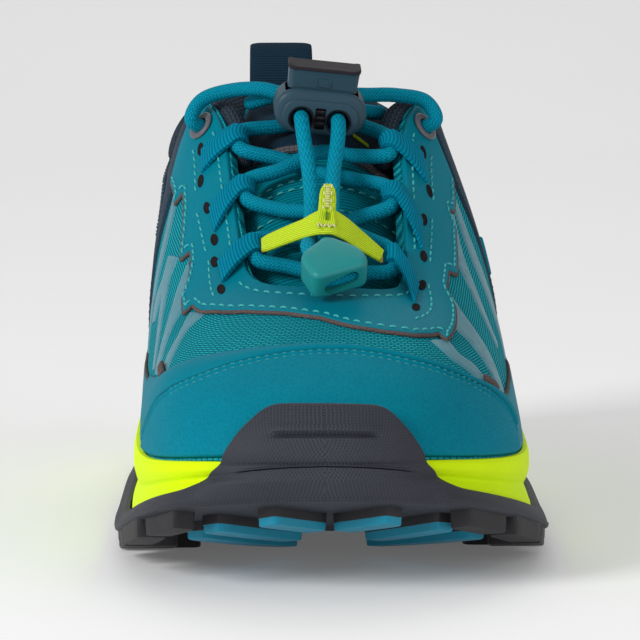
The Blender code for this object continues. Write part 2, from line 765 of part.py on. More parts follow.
def edge_shares(table, knots):
    """Reads an overlay's edge at the given knots, those below zero on the inner side."""
    steps = [row.knot for row in table]
    outer = np.interp(np.abs(knots), steps, [row.outer for row in table])
    inner = np.interp(np.abs(knots), steps, [row.inner for row in table])
    return np.where(knots > 0, outer, inner)


def build_toe_cap(material):
    """The toe cap, whose edge arches over the toes and runs down to the sole on both sides."""
    knots = knots_between(-TOE_CAP_INNER_END, TOE_CAP_OUTER_END)
    low = np.full(len(knots), TOE_CAP_LOW)
    return overlay("toe_cap", knots, low, edge_shares(TOE_CAP, knots), 6, material)


def build_eyestay(material):
    """The eyestay round the throat, with a stepped outer edge."""
    steps = [row.knot for row in EYESTAY]
    even = knots_between(-EYESTAY_END, EYESTAY_END)
    knots = np.unique(np.round(np.concatenate([even, steps, -np.array(steps)]), 3))
    knots = knots[np.insert(np.diff(knots) > 0.06, 0, True)]
    high = np.full(len(knots), 0.985)
    return overlay("eyestay", knots, edge_shares(EYESTAY, knots), high, 3, material, 1.6 * OVERLAY_GAP)


def build_heel_panel(material):
    """The smooth panel round the heel, slanting forward to its foot."""
    knots = knots_between(6.5, 2 * KNOTS - 6.5)
    off = np.abs(knots - KNOTS) / (KNOTS - 6.5)
    low = np.full(len(knots), 0.06)
    high = 0.93 - 0.30 * smooth_step((off - 0.70) / 0.30)
    return overlay("heel_panel", knots, low, high, 6, material)


def build_collar_pad(material):
    """The padded collar: rolls over the edge of the opening and lies against the inside."""
    knots = knots_between(COLLAR_START, 2 * KNOTS - COLLAR_START)
    height = np.linalg.norm(topline(knots) - feather_line(knots), axis=1)
    from_end = np.minimum(knots - knots[0], knots[-1] - knots)
    full = 0.25 + 0.75 * smooth_step(from_end / 1.4)
    rise = wall_points(knots, np.array([1.0]))[:, 0] - wall_points(knots, np.array([0.97]))[:, 0]
    rise = rise / np.linalg.norm(rise, axis=1, keepdims=True)
    sections = []
    for row in COLLAR_PAD:
        share = (1 - row.down * MM * full / height)[:, None]
        inward = row.inward * MM
        bulge = np.full(len(knots), inward)
        if inward > WALL + GAP:
            bulge = WALL + GAP + (inward - WALL - GAP) * full
        place = wall_offset(knots, np.minimum(share, 1.0), -bulge[:, None, None])[:, 0]
        over = np.where(row.down < 0, 0.5 * MM + (-row.down - 0.5) * MM * full, 0.0)
        sections.append(place + rise * over[:, None])
    return swept_solid("collar_pad", np.stack(sections, axis=1), material)


def build_tongue(material):
    """The padded tongue, crowned across, from under the throat to above the collar."""
    outer, inner = [], []
    across = np.linspace(-1, 1, 13)
    for row in TONGUE:
        x = TONGUE_CENTRE + across * row.half_width * MM
        drop = row.edge_drop * MM * np.abs(across) ** 2.2
        thick = row.thick * MM * (1 - 0.55 * np.abs(across) ** 3)
        y = np.full(len(across), row.along * MM - LENGTH / 2)
        z = row.height * MM - drop
        lean = math.radians(row.slope)
        outer.append(np.stack([x, y, z], axis=1))
        inner.append(np.stack([x, y + thick * math.sin(lean), z - thick * math.cos(lean)], axis=1))
    return sheet_solid("tongue", np.array(outer), np.array(inner), material)


def metres(rows):
    """Turns rows of across, along from the toe and height in millimetres into the shoe's frame."""
    rows = np.asarray(rows, float) * MM
    rows[:, 1] -= LENGTH / 2
    return rows


def route(points, steps):
    """Places on a smooth open curve through the given points, so many steps from each to the next."""
    points = np.asarray(points, float)
    ends = np.vstack([2 * points[0] - points[1], points, 2 * points[-1] - points[-2]])
    places = []
    for before, here, there, after in zip(ends, ends[1:], ends[2:], ends[3:]):
        for t in np.linspace(0, 1, steps, endpoint=False):
            bend = 2 * here + (there - before) * t
            bend += (2 * before - 5 * here + 4 * there - after) * t**2
            bend += (3 * here - before - 3 * there + after) * t**3
            places.append(bend / 2)
    return np.array(places + [points[-1]])


def cord(name, points, material):
    """A round cord along a smooth curve through route points."""
    curve = bpy.data.curves.new(name, "CURVE")
    curve.dimensions = "3D"
    curve.bevel_depth = CORD / 2
    curve.bevel_resolution = 2
    curve.use_fill_caps = True
    places = route(points, 2)
    spline = curve.splines.new("POLY")
    spline.points.add(len(places) - 1)
    for point, place in zip(spline.points, places):
        point.co = (*place, 1.0)
    curve.materials.append(material)
    obj = bpy.data.objects.new(name, curve)
    bpy.context.scene.collection.objects.link(obj)
    return obj


def band(name, path, width_axis, widths, thick, material):
    """A strap swept along a path: its width lies along an axis, its thickness square to both."""
    path = np.asarray(path, float)
    ahead = np.gradient(path, axis=0)
    ahead /= np.linalg.norm(ahead, axis=1, keepdims=True)
    across = np.broadcast_to(np.asarray(width_axis, float), path.shape)
    across = across - ahead * np.sum(across * ahead, axis=1, keepdims=True)
    across = across / np.linalg.norm(across, axis=1, keepdims=True)
    off = np.cross(ahead, across) * thick / 2
    half = across * np.reshape(widths, (-1, 1)) / 2
    corners = [path - half - off, path + half - off, path + half + off, path - half + off]
    return swept_solid(name, np.stack(corners, axis=1), material)


def rounded_box(name, centre, axes, size, corner, material):
    """A block with round corners in the plane of its first two axes and softened faces."""
    half = np.asarray(size, float) / 2
    turn = np.linspace(0, 2 * np.pi, 16, endpoint=False) + np.pi / 16
    sections = []
    for level, shrink in ((-1, 1), (-0.72, 0), (0.72, 0), (1, 1)):
        inset = shrink * 0.28 * half[2] * 0.6
        u = np.sign(np.cos(turn)) * (half[0] - corner) + np.cos(turn) * (corner - inset)
        v = np.sign(np.sin(turn)) * (half[1] - corner) + np.sin(turn) * (corner - inset)
        flat = np.outer(u, axes[0]) + np.outer(v, axes[1])
        sections.append(centre + flat + level * half[2] * axes[2])
    return swept_solid(name, sections, material)


def cut(obj, cutter):
    """Takes one body out of another."""
    cutter.hide_render = True
    cutter.display_type = "WIRE"
    step = obj.modifiers.new(cutter.name, "BOOLEAN")
    step.operation = "DIFFERENCE"
    step.solver = "EXACT"
    step.object = cutter


def join(obj, piece):
    """Grows one body onto another."""
    piece.hide_render = True
    piece.display_type = "WIRE"
    step = obj.modifiers.new(piece.name, "BOOLEAN")
    step.operation = "UNION"
    step.solver = "EXACT"
    step.object = piece


def bore(name, place, direction, radius, depth, material, sides=12):
    """A round cutter centred on a place."""
    direction = np.asarray(direction, float) / np.linalg.norm(direction)
    first = np.cross(direction, UP if abs(direction[2]) < 0.9 else np.array([1.0, 0, 0]))
    first /= np.linalg.norm(first)
    second = np.cross(direction, first)
    turn = np.linspace(0, 2 * np.pi, sides, endpoint=False)
    ring = radius * (np.outer(np.cos(turn), first) + np.outer(np.sin(turn), second))
    ends = [place + ring - direction * depth / 2, place + ring + direction * depth / 2]
    return swept_solid(name, ends, material)


def lug_block(corners, sink):
    """A tread lug on four plan corners: its foot on the ground line, its root sunk in the tread."""
    corners = np.asarray(corners, float)
    foot = np.column_stack([corners, ground_height(corners[:, 1])])
    root = np.column_stack([corners, tread_height(corners[:, 1]) + sink])
    return [foot, root]


def add_lugs(outsole, material):
    """Grows the edge lugs and the cross bars of forefoot and heel onto the outsole."""
    vertices, faces = [], []
    for row in LUGS:
        for side in (1, -1):
            knots = side * np.array([row.knot - row.half, row.knot + row.half])
            line, away = feather_line(knots)[:, :2], outward(knots)[:, :2]
            out, back = line + row.out * MM * away, line - row.inward * MM * away
            block = lug_block([out[0], out[1], back[1], back[0]], 0.7 * MM)
            start = len(vertices)
            vertices.extend(np.concatenate(block))
            quads = [(0, 1, 2, 3), (4, 5, 6, 7)]
            quads += [(i, (i + 1) % 4, (i + 1) % 4 + 4, i + 4) for i in range(4)]
            faces.extend([tuple(start + i for i in quad) for quad in quads])
    lugs = add_object("edge_lugs", vertices, faces, material)
    join(outsole, lugs)


def build_chevrons(material):
    """The coloured chevron lugs under the toe, a bar for each arm."""
    for row in CHEVRONS:
        inner = np.array([row.in_x * MM, row.in_along * MM - LENGTH / 2])
        outer = np.array([row.out_x * MM, row.out_along * MM - LENGTH / 2])
        side = np.array([-(outer - inner)[1], (outer - inner)[0]])
        side = side / np.linalg.norm(side) * CHEVRON_WIDTH / 2
        sections = []
        for share in np.linspace(0, 1, 5):
            middle = inner * (1 - share) + outer * share
            foot, root = lug_block([middle - side, middle + side], -GAP)
            sections.append([foot[0], foot[1], root[1], root[0]])
        swept_solid(row.name, sections, material)


def build_pull_loop(material):
    """The webbing pull loop standing over the heel collar."""
    path = metres([(PULL_LOOP_X, row.along, row.height) for row in PULL_LOOP])
    path = route(path, 2)
    return band("pull_loop", path, (1, 0, 0), np.full(len(path), PULL_LOOP_WIDTH), 1.4 * MM, material)


def eyelet_frame(knot):
    """The middle and the outward direction of a top eyelet."""
    share = np.array([EYELET_SHARE])
    knots = np.array([knot])
    return wall_points(knots, share)[0, 0], wall_normals(knots, share)[0, 0]


def build_eyelets(upper, eyestay, material):
    """The two top eyelets: holes through eyestay and upper, each with a ring on the outside."""
    for name, knot in (("eyelet_outer", EYELET_KNOT), ("eyelet_inner", -EYELET_KNOT)):
        place, out = eyelet_frame(knot)
        hole = bore(name + "_hole", place, out, EYELET_HOLE / 2, 12 * MM, material)
        cut(upper, hole)
        cut(eyestay, hole)
        first = np.cross(out, UP)
        first /= np.linalg.norm(first)
        second = np.cross(out, first)
        turn = np.linspace(0, 2 * np.pi, 16, endpoint=False)
        around_hole = np.outer(np.cos(turn), first) + np.outer(np.sin(turn), second)
        base = place + (OVERLAY_GAP + OVERLAY_THICK + 0.55 * MM) * out
        sections = []
        for radius, rise in ((EYELET_HOLE / 2, 0), (EYELET_RING / 2, 0),
                             (EYELET_RING / 2 - 0.4 * MM, 0.6 * MM), (EYELET_HOLE / 2, 0.8 * MM)):
            sections.append(base + around_hole * radius + out * rise)
        swept_solid(name, np.stack(sections, axis=1), material, wrap=True)


def loop_frame(knot):
    """Where the cord lies in a lace loop, and the level direction from there towards the throat."""
    edge, ahead = topline(np.array([knot]))[0], topline(np.array([knot + 0.05, knot - 0.05]))
    along = ahead[0] - ahead[1]
    inward = np.array([-along[1], along[0], 0.0])
    inward /= np.linalg.norm(inward)
    return edge + LOOP_REACH * inward + LOOP_LIFT * UP, inward


def build_lace_loops(material):
    """The six webbing loops: each leaves the eyestay, narrows, and is folded round the cord."""
    ring = CORD / 2 + 1.8 * MM + LOOP_THICK / 2
    for row in LACE_LOOPS:
        cord_at, inward = loop_frame(row.knot)
        lift = 1.6 * OVERLAY_GAP + OVERLAY_THICK + 3 * GAP + LOOP_THICK / 2
        on_wall = wall_offset(np.array([row.knot]), np.array([0.84, 0.92, 0.99]), lift)[0]
        turn = np.radians([105, 71, 37, 3, -31, -65])
        fold = cord_at + ring * (np.outer(np.cos(turn), inward) + np.outer(np.sin(turn), UP))
        path = np.concatenate([on_wall, fold])
        widths = np.interp(np.arange(len(path)), (0, 2, 3), (LOOP_BASE, LOOP_NECK + 1.5 * MM, LOOP_NECK))
        edge = topline(np.array([row.knot + 0.05, row.knot - 0.05]))
        band(row.name, path, edge[0] - edge[1], widths, LOOP_THICK, material)


def lock_axes():
    """The cord lock's axes: across, press (towards the button) and face (towards the toe)."""
    tilt, roll = math.radians(LOCK_TILT), math.radians(LOCK_ROLL)
    press = np.array([math.sin(roll), -math.sin(tilt) * math.cos(roll), math.cos(tilt) * math.cos(roll)])
    face = np.array([0.0, -math.cos(tilt), -math.sin(tilt)])
    face -= press * (face @ press)
    face /= np.linalg.norm(face)
    return np.cross(face, press) * -1, press, face


def build_cord_lock(body_material, button_material):
    """The cord lock: a body with two cord holes and a slot, and the push button that slides in it."""
    across, press, face = lock_axes()
    centre = metres([LOCK_CENTRE])[0]
    axes = (across, face, press)
    body = rounded_box("cord_lock_body", centre, axes, LOCK_SIZE, 2.8 * MM, body_material)
    for name, side in (("lock_hole_outer", 0.5), ("lock_hole_inner", -0.5)):
        place = centre + side * LOCK_HOLE_SPACING * across - LOCK_HOLE_DROP * press
        cut(body, bore(name, place, face, LOCK_HOLE / 2, 20 * MM, body_material))
    for name, low, wide, deep in (("lock_well", -3.4, 1.5, 2.3), ("lock_pocket", 1.25, 7.95, 3.1)):
        hollow = square_post(centre, (across, face, press), wide * MM, deep * MM, low * MM, 8 * MM)
        cut(body, swept_solid(name, hollow, body_material))
    sections = []
    for row in BUTTON:
        turn = np.linspace(0, 2 * np.pi, 16, endpoint=False) + np.pi / 16
        u = np.sign(np.cos(turn)) * (row.wide / 2 - 1.6) + 1.6 * np.cos(turn)
        v = np.sign(np.sin(turn)) * (row.deep / 2 - 1.6) + 1.6 * np.sin(turn)
        height = row.rise - row.dip * (1 - (u / (row.wide / 2)) ** 2)
        flat = np.outer(u, across) + np.outer(v, face) + np.outer(height, press)
        sections.append(centre + flat * MM)
    button = swept_solid("cord_lock_button", sections, button_material)
    stem = square_post(centre, (across, face, press), 1.2 * MM, 2.0 * MM, 0.2 * MM, 5.4 * MM)
    join(button, swept_solid("button_stem", stem, button_material))


def square_post(centre, axes, wide, deep, low, high):
    """The two end sections of a square post, by its half widths and its two heights."""
    corners = np.array([(-1, -1), (1, -1), (1, 1), (-1, 1)])
    flat = np.outer(corners[:, 0] * wide, axes[0]) + np.outer(corners[:, 1] * deep, axes[1])
    return np.array([centre + flat + height * axes[2] for height in (low, high)])


def end_axes():
    """The cord end's axes: across, up and face (towards the viewer in front of the toe)."""
    lean, roll = math.radians(CORD_END_LEAN), math.radians(CORD_END_ROLL)
    face = np.array([0.0, -math.cos(lean), math.sin(lean)])
    up = np.array([0.0, math.sin(lean), math.cos(lean)])
    across = np.array([1.0, 0.0, 0.0])
    turned = across * math.cos(roll) + up * math.sin(roll)
    return turned, up * math.cos(roll) - across * math.sin(roll), face


def build_cord_end(material):
    """The rubber cord end that clasps the two cord tails, with a slot across its lower face."""
    across, up, face = end_axes()
    centre = metres([CORD_END_CENTRE])[0]
    block = rounded_box("cord_end", centre, (across, up, face), CORD_END_SIZE, 3.4 * MM, material)
    for name, points in (("end_bore_inner", TAIL_INNER), ("end_bore_outer", TAIL_OUTER)):
        last = metres(points[-2:])
        middle = last[1] * 0.7 + last[0] * 0.3
        cut(block, bore(name, middle, last[1] - last[0], CORD / 2 + 0.4 * MM, 7 * MM, material))
    place = centre - 2.6 * MM * up + 2.2 * MM * across + 3.2 * MM * face
    cut(block, bore("end_slot", place, across + 0.35 * up, 1.7 * MM, 7 * MM, material))


def build_keeper(material):
    """The bright keeper: a strap with two drooping ends over the tails, and an upright head on it."""
    path = route(metres(KEEPER_STRAP), 2)
    widths = np.interp(np.linspace(0, 1, len(path)), (0, 0.3, 0.7, 1), (3.2, 6.2, 6.2, 3.2)) * MM
    strap = band("keeper", path, (0, 0.6, 0.8), widths, 1.2 * MM, material)
    path = route(metres(KEEPER_HEAD), 2)
    widths = np.interp(np.linspace(0, 1, len(path)), (0, 0.5, 1), (4.4, 4.4, 3.2)) * MM
    join(strap, band("keeper_head", path, (1, 0, 0), widths, 1.8 * MM, material))


def build_side_tab(material):
    """The small folded tab sewn at the edge of the outer quarter."""
    knots = np.array([SIDE_TAB_KNOT, SIDE_TAB_KNOT + 0.22])
    shares = np.linspace(0.42, 0.55, 3)
    outer = wall_offset(knots, shares, OVERLAY_GAP + OVERLAY_THICK)
    inner = wall_offset(knots, shares, OVERLAY_GAP)
    return sheet_solid("side_tab", outer, inner, material)


def main():
    clear_scene()
    lime = make_material("lime_foam", (0.55, 0.80, 0.02), 0.6)
    strap = make_material("lime_webbing", (0.60, 0.78, 0.03), 0.85)
    teal = make_material("teal_mesh", (0.0, 0.25, 0.30), 0.8)
    cap = make_material("teal_suede", (0.0, 0.22, 0.28), 0.85)
    blue = make_material("blue_cord", (0.0, 0.16, 0.26), 0.8)
    navy = make_material("navy_panel", (0.01, 0.04, 0.07), 0.6)
    knit = make_material("navy_knit", (0.008, 0.02, 0.035), 0.9)
    rubber = make_material("dark_rubber", (0.02, 0.02, 0.03), 0.7)
    lug_blue = make_material("blue_rubber", (0.0, 0.18, 0.28), 0.6)
    lock = make_material("slate_plastic", (0.02, 0.07, 0.11), 0.45)
    green = make_material("green_rubber", (0.0, 0.20, 0.19), 0.5)
    ring = make_material("grey_ring", (0.05, 0.08, 0.10), 0.4)
    outsole = build_outsole(rubber)
    add_lugs(outsole, rubber)
    build_chevrons(lug_blue)
    build_midsole(lime)
    build_insole(knit)
    upper = build_upper(teal)
    build_toe_cap(cap)
    eyestay = build_eyestay(cap)
    build_heel_panel(navy)
    build_collar_pad(knit)
    build_tongue(teal)
    build_pull_loop(navy)
    build_eyelets(upper, eyestay, ring)
    build_lace_loops(blue)
    cord("lace", metres(LACE), blue)
    cord("lace_top_inner", metres(LACE_TOP_INNER), blue)
    cord("lace_top_outer", metres(LACE_TOP_OUTER), blue)
    cord("lace_tail_inner", metres(TAIL_INNER), blue)
    cord("lace_tail_outer", metres(TAIL_OUTER), blue)
    build_cord_lock(lock, lock)
    build_cord_end(green)
    build_keeper(strap)
    build_side_tab(cap)


main()
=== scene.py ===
"""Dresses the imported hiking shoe: shaped surfaces, woven and moulded finishes, and a plain studio."""

import logging
import math
from collections.abc import Callable, Sequence
from dataclasses import dataclass
from enum import Enum
from functools import partialmethod

import bmesh
import bpy
import numpy as np
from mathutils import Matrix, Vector
from numpy.typing import NDArray

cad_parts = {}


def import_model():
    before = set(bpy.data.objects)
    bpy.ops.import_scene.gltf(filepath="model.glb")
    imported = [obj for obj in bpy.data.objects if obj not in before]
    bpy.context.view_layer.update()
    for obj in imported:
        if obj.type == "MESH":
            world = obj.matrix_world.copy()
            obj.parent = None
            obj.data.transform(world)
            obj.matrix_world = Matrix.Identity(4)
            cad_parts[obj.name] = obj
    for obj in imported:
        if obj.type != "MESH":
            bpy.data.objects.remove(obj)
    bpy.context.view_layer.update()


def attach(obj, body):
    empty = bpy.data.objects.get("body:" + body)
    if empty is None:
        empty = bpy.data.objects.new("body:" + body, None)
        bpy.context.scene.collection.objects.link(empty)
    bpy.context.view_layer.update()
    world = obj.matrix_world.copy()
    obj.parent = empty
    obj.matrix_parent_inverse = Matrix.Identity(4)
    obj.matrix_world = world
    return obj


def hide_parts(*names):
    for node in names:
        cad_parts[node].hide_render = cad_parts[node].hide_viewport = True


Array = NDArray[np.float64]
Colour = tuple[float, float, float]
Rows = Sequence[Sequence[float]]
Object = bpy.types.Object
Sockets = dict[str | int, object]
Level = Callable[[Array], Array]

MM = 0.001
WELD = 1e-6
UP = np.array([0.0, 0.0, 1.0])
log = logging.getLogger("hiking_shoe")


class Body(Enum):
    """The rigid bodies that pieces ride on."""

    SHOE = "shoe"
    BUTTON = "lock_button"


class Slot(Enum):
    """The record's material slots."""

    FOAM = "lime_foam"
    STRAP = "lime_webbing"
    MESH = "teal_mesh"
    SUEDE = "teal_suede"
    CORD = "blue_cord"
    PANEL = "navy_panel"
    KNIT = "navy_knit"
    RUBBER = "dark_rubber"
    LUG = "blue_rubber"
    LOCK = "slate_plastic"
    END = "green_rubber"
    RING = "grey_ring"


# ===== Number work shared by all pieces =====


def unit(vectors: Array) -> Array:
    """Scales vectors on the last axis to length one."""
    return vectors / np.maximum(np.linalg.norm(vectors, axis=-1, keepdims=True), 1e-12)


def ease(share: Array | float) -> Array:
    """Rises from 0 to 1 with level ends as the share goes from 0 to 1."""
    share = np.clip(share, 0.0, 1.0)
    return share * share * (3 - 2 * share)


def groove(place: Array | float, middle: float, half: float) -> Array:
    """A round dip of depth 1 at a middle, gone at half a width to either side."""
    return np.clip(1 - ((place - middle) / half) ** 2, 0, 1)


def quarter_round(near: Array | float) -> Array:
    """Rises from 0 to 1 as a quarter circle does while a distance goes from 0 to 1."""
    return np.sqrt(np.clip(1 - np.clip(1 - near, 0, 1) ** 2, 0, 1))


def soft_table(at: Array, steps: Sequence[float], values: Sequence[float], window: float) -> Array:
    """Reads a table in straight pieces whose corners are rounded over a window.

    Args:
        at: Where to read.
        steps: The table's places, rising.
        values: The table's values.
        window: How wide a stretch each reading is averaged over.

    Returns:
        The readings, in the shape of at.
    """
    shift = np.linspace(-0.5, 0.5, 9) * window
    weight = 1 + np.cos(2 * np.pi * np.linspace(-0.5, 0.5, 9))
    reads = np.interp(np.asarray(at, float)[..., None] + shift, steps, values)
    return (reads * weight).sum(-1) / weight.sum()


def closed_spline(rows: Array, knots: Array) -> Array:
    """Reads the natural cubic curve that closes through evenly numbered rows.

    Args:
        rows: One row of values for each knot, toe first.
        knots: Places round the shoe, any number, taken round the count of rows.

    Returns:
        The values at each knot.
    """
    count = len(rows)
    one = np.eye(count)
    system = 4 * one + np.roll(one, 1, axis=0) + np.roll(one, -1, axis=0)
    bend = np.linalg.solve(system, 6 * (np.roll(rows, -1, 0) - 2 * rows + np.roll(rows, 1, 0)))
    first = np.floor(knots).astype(int) % count
    after = (first + 1) % count
    part = (knots - np.floor(knots))[:, None]
    rest = 1 - part
    straight = rows[first] * rest + rows[after] * part
    return straight + ((rest**3 - rest) * bend[first] + (part**3 - part) * bend[after]) / 6


def route(points: Rows | Array, steps: int) -> Array:
    """A smooth open curve through points: each span is the cubic that leaves and meets its ends
    along the line between the neighbours on either side.

    Args:
        points: The places it goes through.
        steps: How many places are made for each span.

    Returns:
        The places on the curve, the last point among them.
    """
    points = np.asarray(points, float)
    ends = np.vstack([2 * points[0] - points[1], points, 2 * points[-1] - points[-2]])
    a, b, c, d = ends[:-3, None], ends[1:-2, None], ends[2:-1, None], ends[3:, None]
    t = np.linspace(0, 1, steps, endpoint=False)[None, :, None]
    curve = 2 * b + (c - a) * t + (2 * a - 5 * b + 4 * c - d) * t**2 + (3 * b - a - 3 * c + d) * t**3
    return np.vstack([(curve / 2).reshape(-1, points.shape[1]), points[-1:]])


def carry(path: Array) -> tuple[Array, Array, Array]:
    """Directions carried along a path without twisting.

    Args:
        path: The places along it.

    Returns:
        The directions ahead, aside and the third square to both, at each place.
    """
    ahead = unit(np.gradient(path, axis=0))
    start = np.cross(ahead[0], UP if abs(ahead[0][2]) < 0.9 else np.array([1.0, 0.0, 0.0]))
    side = [unit(start)]
    for direction in ahead[1:]:
        side.append(unit(side[-1] - direction * (side[-1] @ direction)))
    return ahead, np.array(side), np.cross(ahead, np.array(side))


def spread(path: Array) -> Array:
    """The length run along a path at each of its places."""
    return np.insert(np.cumsum(np.linalg.norm(np.diff(path, axis=0), axis=1)), 0, 0.0)


def read(at: Array, run: Array, rows: Array) -> Array:
    """Reads each column of rows, which lie along a run, at further places on it."""
    return np.stack([np.interp(at, run, column) for column in rows.T], axis=1)


def evenly(path: Array, spacing: float) -> Array:
    """Places at even spacing along a path."""
    run = spread(path)
    return read(np.linspace(0, run[-1], max(2, int(round(run[-1] / spacing)) + 1)), run, path)


def surface_uv(points: Array) -> Array:
    """Lengths in metres along the rows and the columns of a grid of points.

    Args:
        points: The grid of places.

    Returns:
        The pair of lengths at each place.
    """
    along = np.linalg.norm(np.diff(points, axis=0), axis=2).mean(axis=1)
    along = np.insert(np.cumsum(along), 0, 0.0)
    up = np.linalg.norm(np.diff(points, axis=1), axis=2)
    up = np.concatenate([np.zeros((len(points), 1)), np.cumsum(up, axis=1)], axis=1)
    return np.stack([np.broadcast_to(along[:, None], up.shape), up], axis=2)


def millimetres(rows: Rows) -> Array:
    """Turns rows of across, along from the toe and height in millimetres into the shoe's frame."""
    return (np.asarray(rows, float) - np.array([0.0, 114.0, 0.0])) * MM


class Skin:
    """Grids of points that are gathered and welded into one mesh with its own UV map in metres."""

    def __init__(self) -> None:
        """Starts with no grids."""
        self.points: list[Array] = []
        self.uvs: list[Array] = []
        self.quads: list[Array] = []
        self.slots: list[Array] = []
        self.count = 0

    def grid(self, points: Array, uv: Array | None = None, slot: int = 0) -> "Skin":
        """Adds the quads between neighbours in a grid.

        Args:
            points: Rows by columns of places.
            uv: The pattern's coordinates; lengths along the grid where none are given.
            slot: Which of the piece's materials it takes.

        Returns:
            The skin itself.
        """
        rows, columns = points.shape[:2]
        ids = self.count + np.arange(rows * columns).reshape(rows, columns)
        quads = np.stack([ids[:-1, :-1], ids[1:, :-1], ids[1:, 1:], ids[:-1, 1:]], axis=-1)
        self.points.append(points.reshape(-1, 3))
        self.uvs.append((surface_uv(points) if uv is None else uv).reshape(-1, 2))
        self.quads.append(quads.reshape(-1, 4))
        self.slots.append(np.full(len(self.quads[-1]), slot))
        self.count += rows * columns
        return self

    def shell(self, outer: Array, inner: Array, slots: tuple[int, int] = (0, 0)) -> "Skin":
        """Adds two grids with the rims that close them along their four edges.

        Args:
            outer: The outer face's places.
            inner: The inner face's places, in the same order.
            slots: The materials of the outer face with its rims, and of the inner face.

        Returns:
            The skin itself.
        """
        uv = surface_uv(outer)
        self.grid(outer, uv, slots[0]).grid(inner, uv, slots[1])
        for edge in (np.s_[0], np.s_[-1], np.s_[:, 0], np.s_[:, -1]):
            self.grid(np.stack([outer[edge], inner[edge]], 1), np.stack([uv[edge], uv[edge]], 1), slots[0])
        return self

    def copies(self, shape: Array, origins: Array, axes: Array) -> "Skin":
        """Adds one small closed grid again and again.

        Args:
            shape: Rows by columns of places in the copy's own axes.
            origins: Where each copy lies.
            axes: Each copy's three axes, as rows.

        Returns:
            The skin itself.
        """
        uv = surface_uv(shape)
        for places in origins[:, None, None] + np.einsum("rci,nij->nrcj", shape, axes):
            self.grid(places, uv)
        return self

    def build(self, name: str, *finishes: "Finish", sharp: float = 50.0) -> Object:
        """Welds the grids where they meet and makes the object, its faces turned outwards.

        Args:
            name: The piece's name.
            finishes: The piece's finishes, in the order of the slots.
            sharp: Edges that bend more than this many degrees stay sharp.

        Returns:
            The finished object.
        """
        points, uvs = np.concatenate(self.points), np.concatenate(self.uvs)
        quads, slots = np.concatenate(self.quads), np.concatenate(self.slots)
        keys = np.round(points / WELD).astype(np.int64)
        _, first, same = np.unique(keys, axis=0, return_index=True, return_inverse=True)
        corners = same.ravel()[quads]
        repeat = corners == np.roll(corners, -1, axis=1)
        whole, cut = repeat.sum(1) == 0, repeat.sum(1) == 1
        loops, sources = (np.concatenate([a[whole].ravel(), a[cut][~repeat[cut]]]) for a in (corners, quads))
        sizes = np.repeat([4, 3], [whole.sum(), cut.sum()])
        mesh = bpy.data.meshes.new(name)
        mesh.vertices.add(len(first))
        mesh.vertices.foreach_set("co", points[first].ravel())
        mesh.loops.add(len(loops))
        mesh.loops.foreach_set("vertex_index", loops.astype(np.int32))
        mesh.polygons.add(len(sizes))
        mesh.polygons.foreach_set("loop_start", (np.cumsum(sizes) - sizes).astype(np.int32))
        faces = np.concatenate([slots[whole], slots[cut]])
        mesh.polygons.foreach_set("material_index", faces.astype(np.int32))
        mesh.uv_layers.new(name="UVMap").data.foreach_set("uv", uvs[sources].ravel())
        mesh.update(calc_edges=True)
        mesh.validate()
        work = bmesh.new()
        work.from_mesh(mesh)
        bmesh.ops.recalc_face_normals(work, faces=work.faces)
        work.to_mesh(mesh)
        work.free()
        soften(mesh, sharp)
        for finish in finishes:
            mesh.materials.append(finish.material())
        obj = bpy.data.objects.new(name, mesh)
        bpy.context.scene.collection.objects.link(obj)
        return obj

    def piece(
        self,
        name: str,
        slot: Slot,
        *finishes: "Finish",
        nodes: Sequence[str] = (),
        body: Body = Body.SHOE,
        sharp: float = 50.0,
    ) -> Object:
        """Builds the object and seats it; the slot is not used, and the other arguments are those of build
        and seat.
        """
        return seat(self.build(name, *finishes, sharp=sharp), body, nodes)


def soften(mesh: bpy.types.Mesh, sharp: float) -> None:
    """Shades a mesh smooth, apart from edges that bend more than so many degrees."""
    mesh.shade_smooth()
    mesh.set_sharp_from_angle(angle=math.radians(sharp))


def seat(obj: Object, body: Body = Body.SHOE, nodes: Sequence[str] = ()) -> Object:
    """Lets a piece ride on its body and the solids it stands for, and reports it.

    Args:
        obj: The piece.
        body: The body it rides on.
        nodes: The solids it replaces.

    Returns:
        The piece.
    """
    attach(obj, body.value)
    if nodes:
        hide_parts(*nodes)
    log.info("%s: %d faces on %s", obj.name, len(obj.data.polygons), body.value)
    return obj


def carve(obj: Object, cutters: Sequence[Object], sharp: float = 30.0) -> None:
    """Takes closed cutters out of a closed piece and leaves the result in its mesh.

    Args:
        obj: The piece.
        cutters: The bodies to take out, which are removed afterwards.
        sharp: Edges that bend more than this many degrees stay sharp.
    """
    for cutter in cutters:
        step = obj.modifiers.new(cutter.name, "BOOLEAN")
        step.operation, step.solver = "DIFFERENCE", "EXACT"
        step.object, step.material_mode = cutter, "TRANSFER"
    bpy.context.view_layer.update()
    graph = bpy.context.evaluated_depsgraph_get()
    mesh = bpy.data.meshes.new_from_object(obj.evaluated_get(graph))
    obj.modifiers.clear()
    old, obj.data = obj.data, mesh
    soften(mesh, sharp)
    bpy.data.meshes.remove(old)
    for cutter in cutters:
        bpy.data.objects.remove(cutter, do_unlink=True)


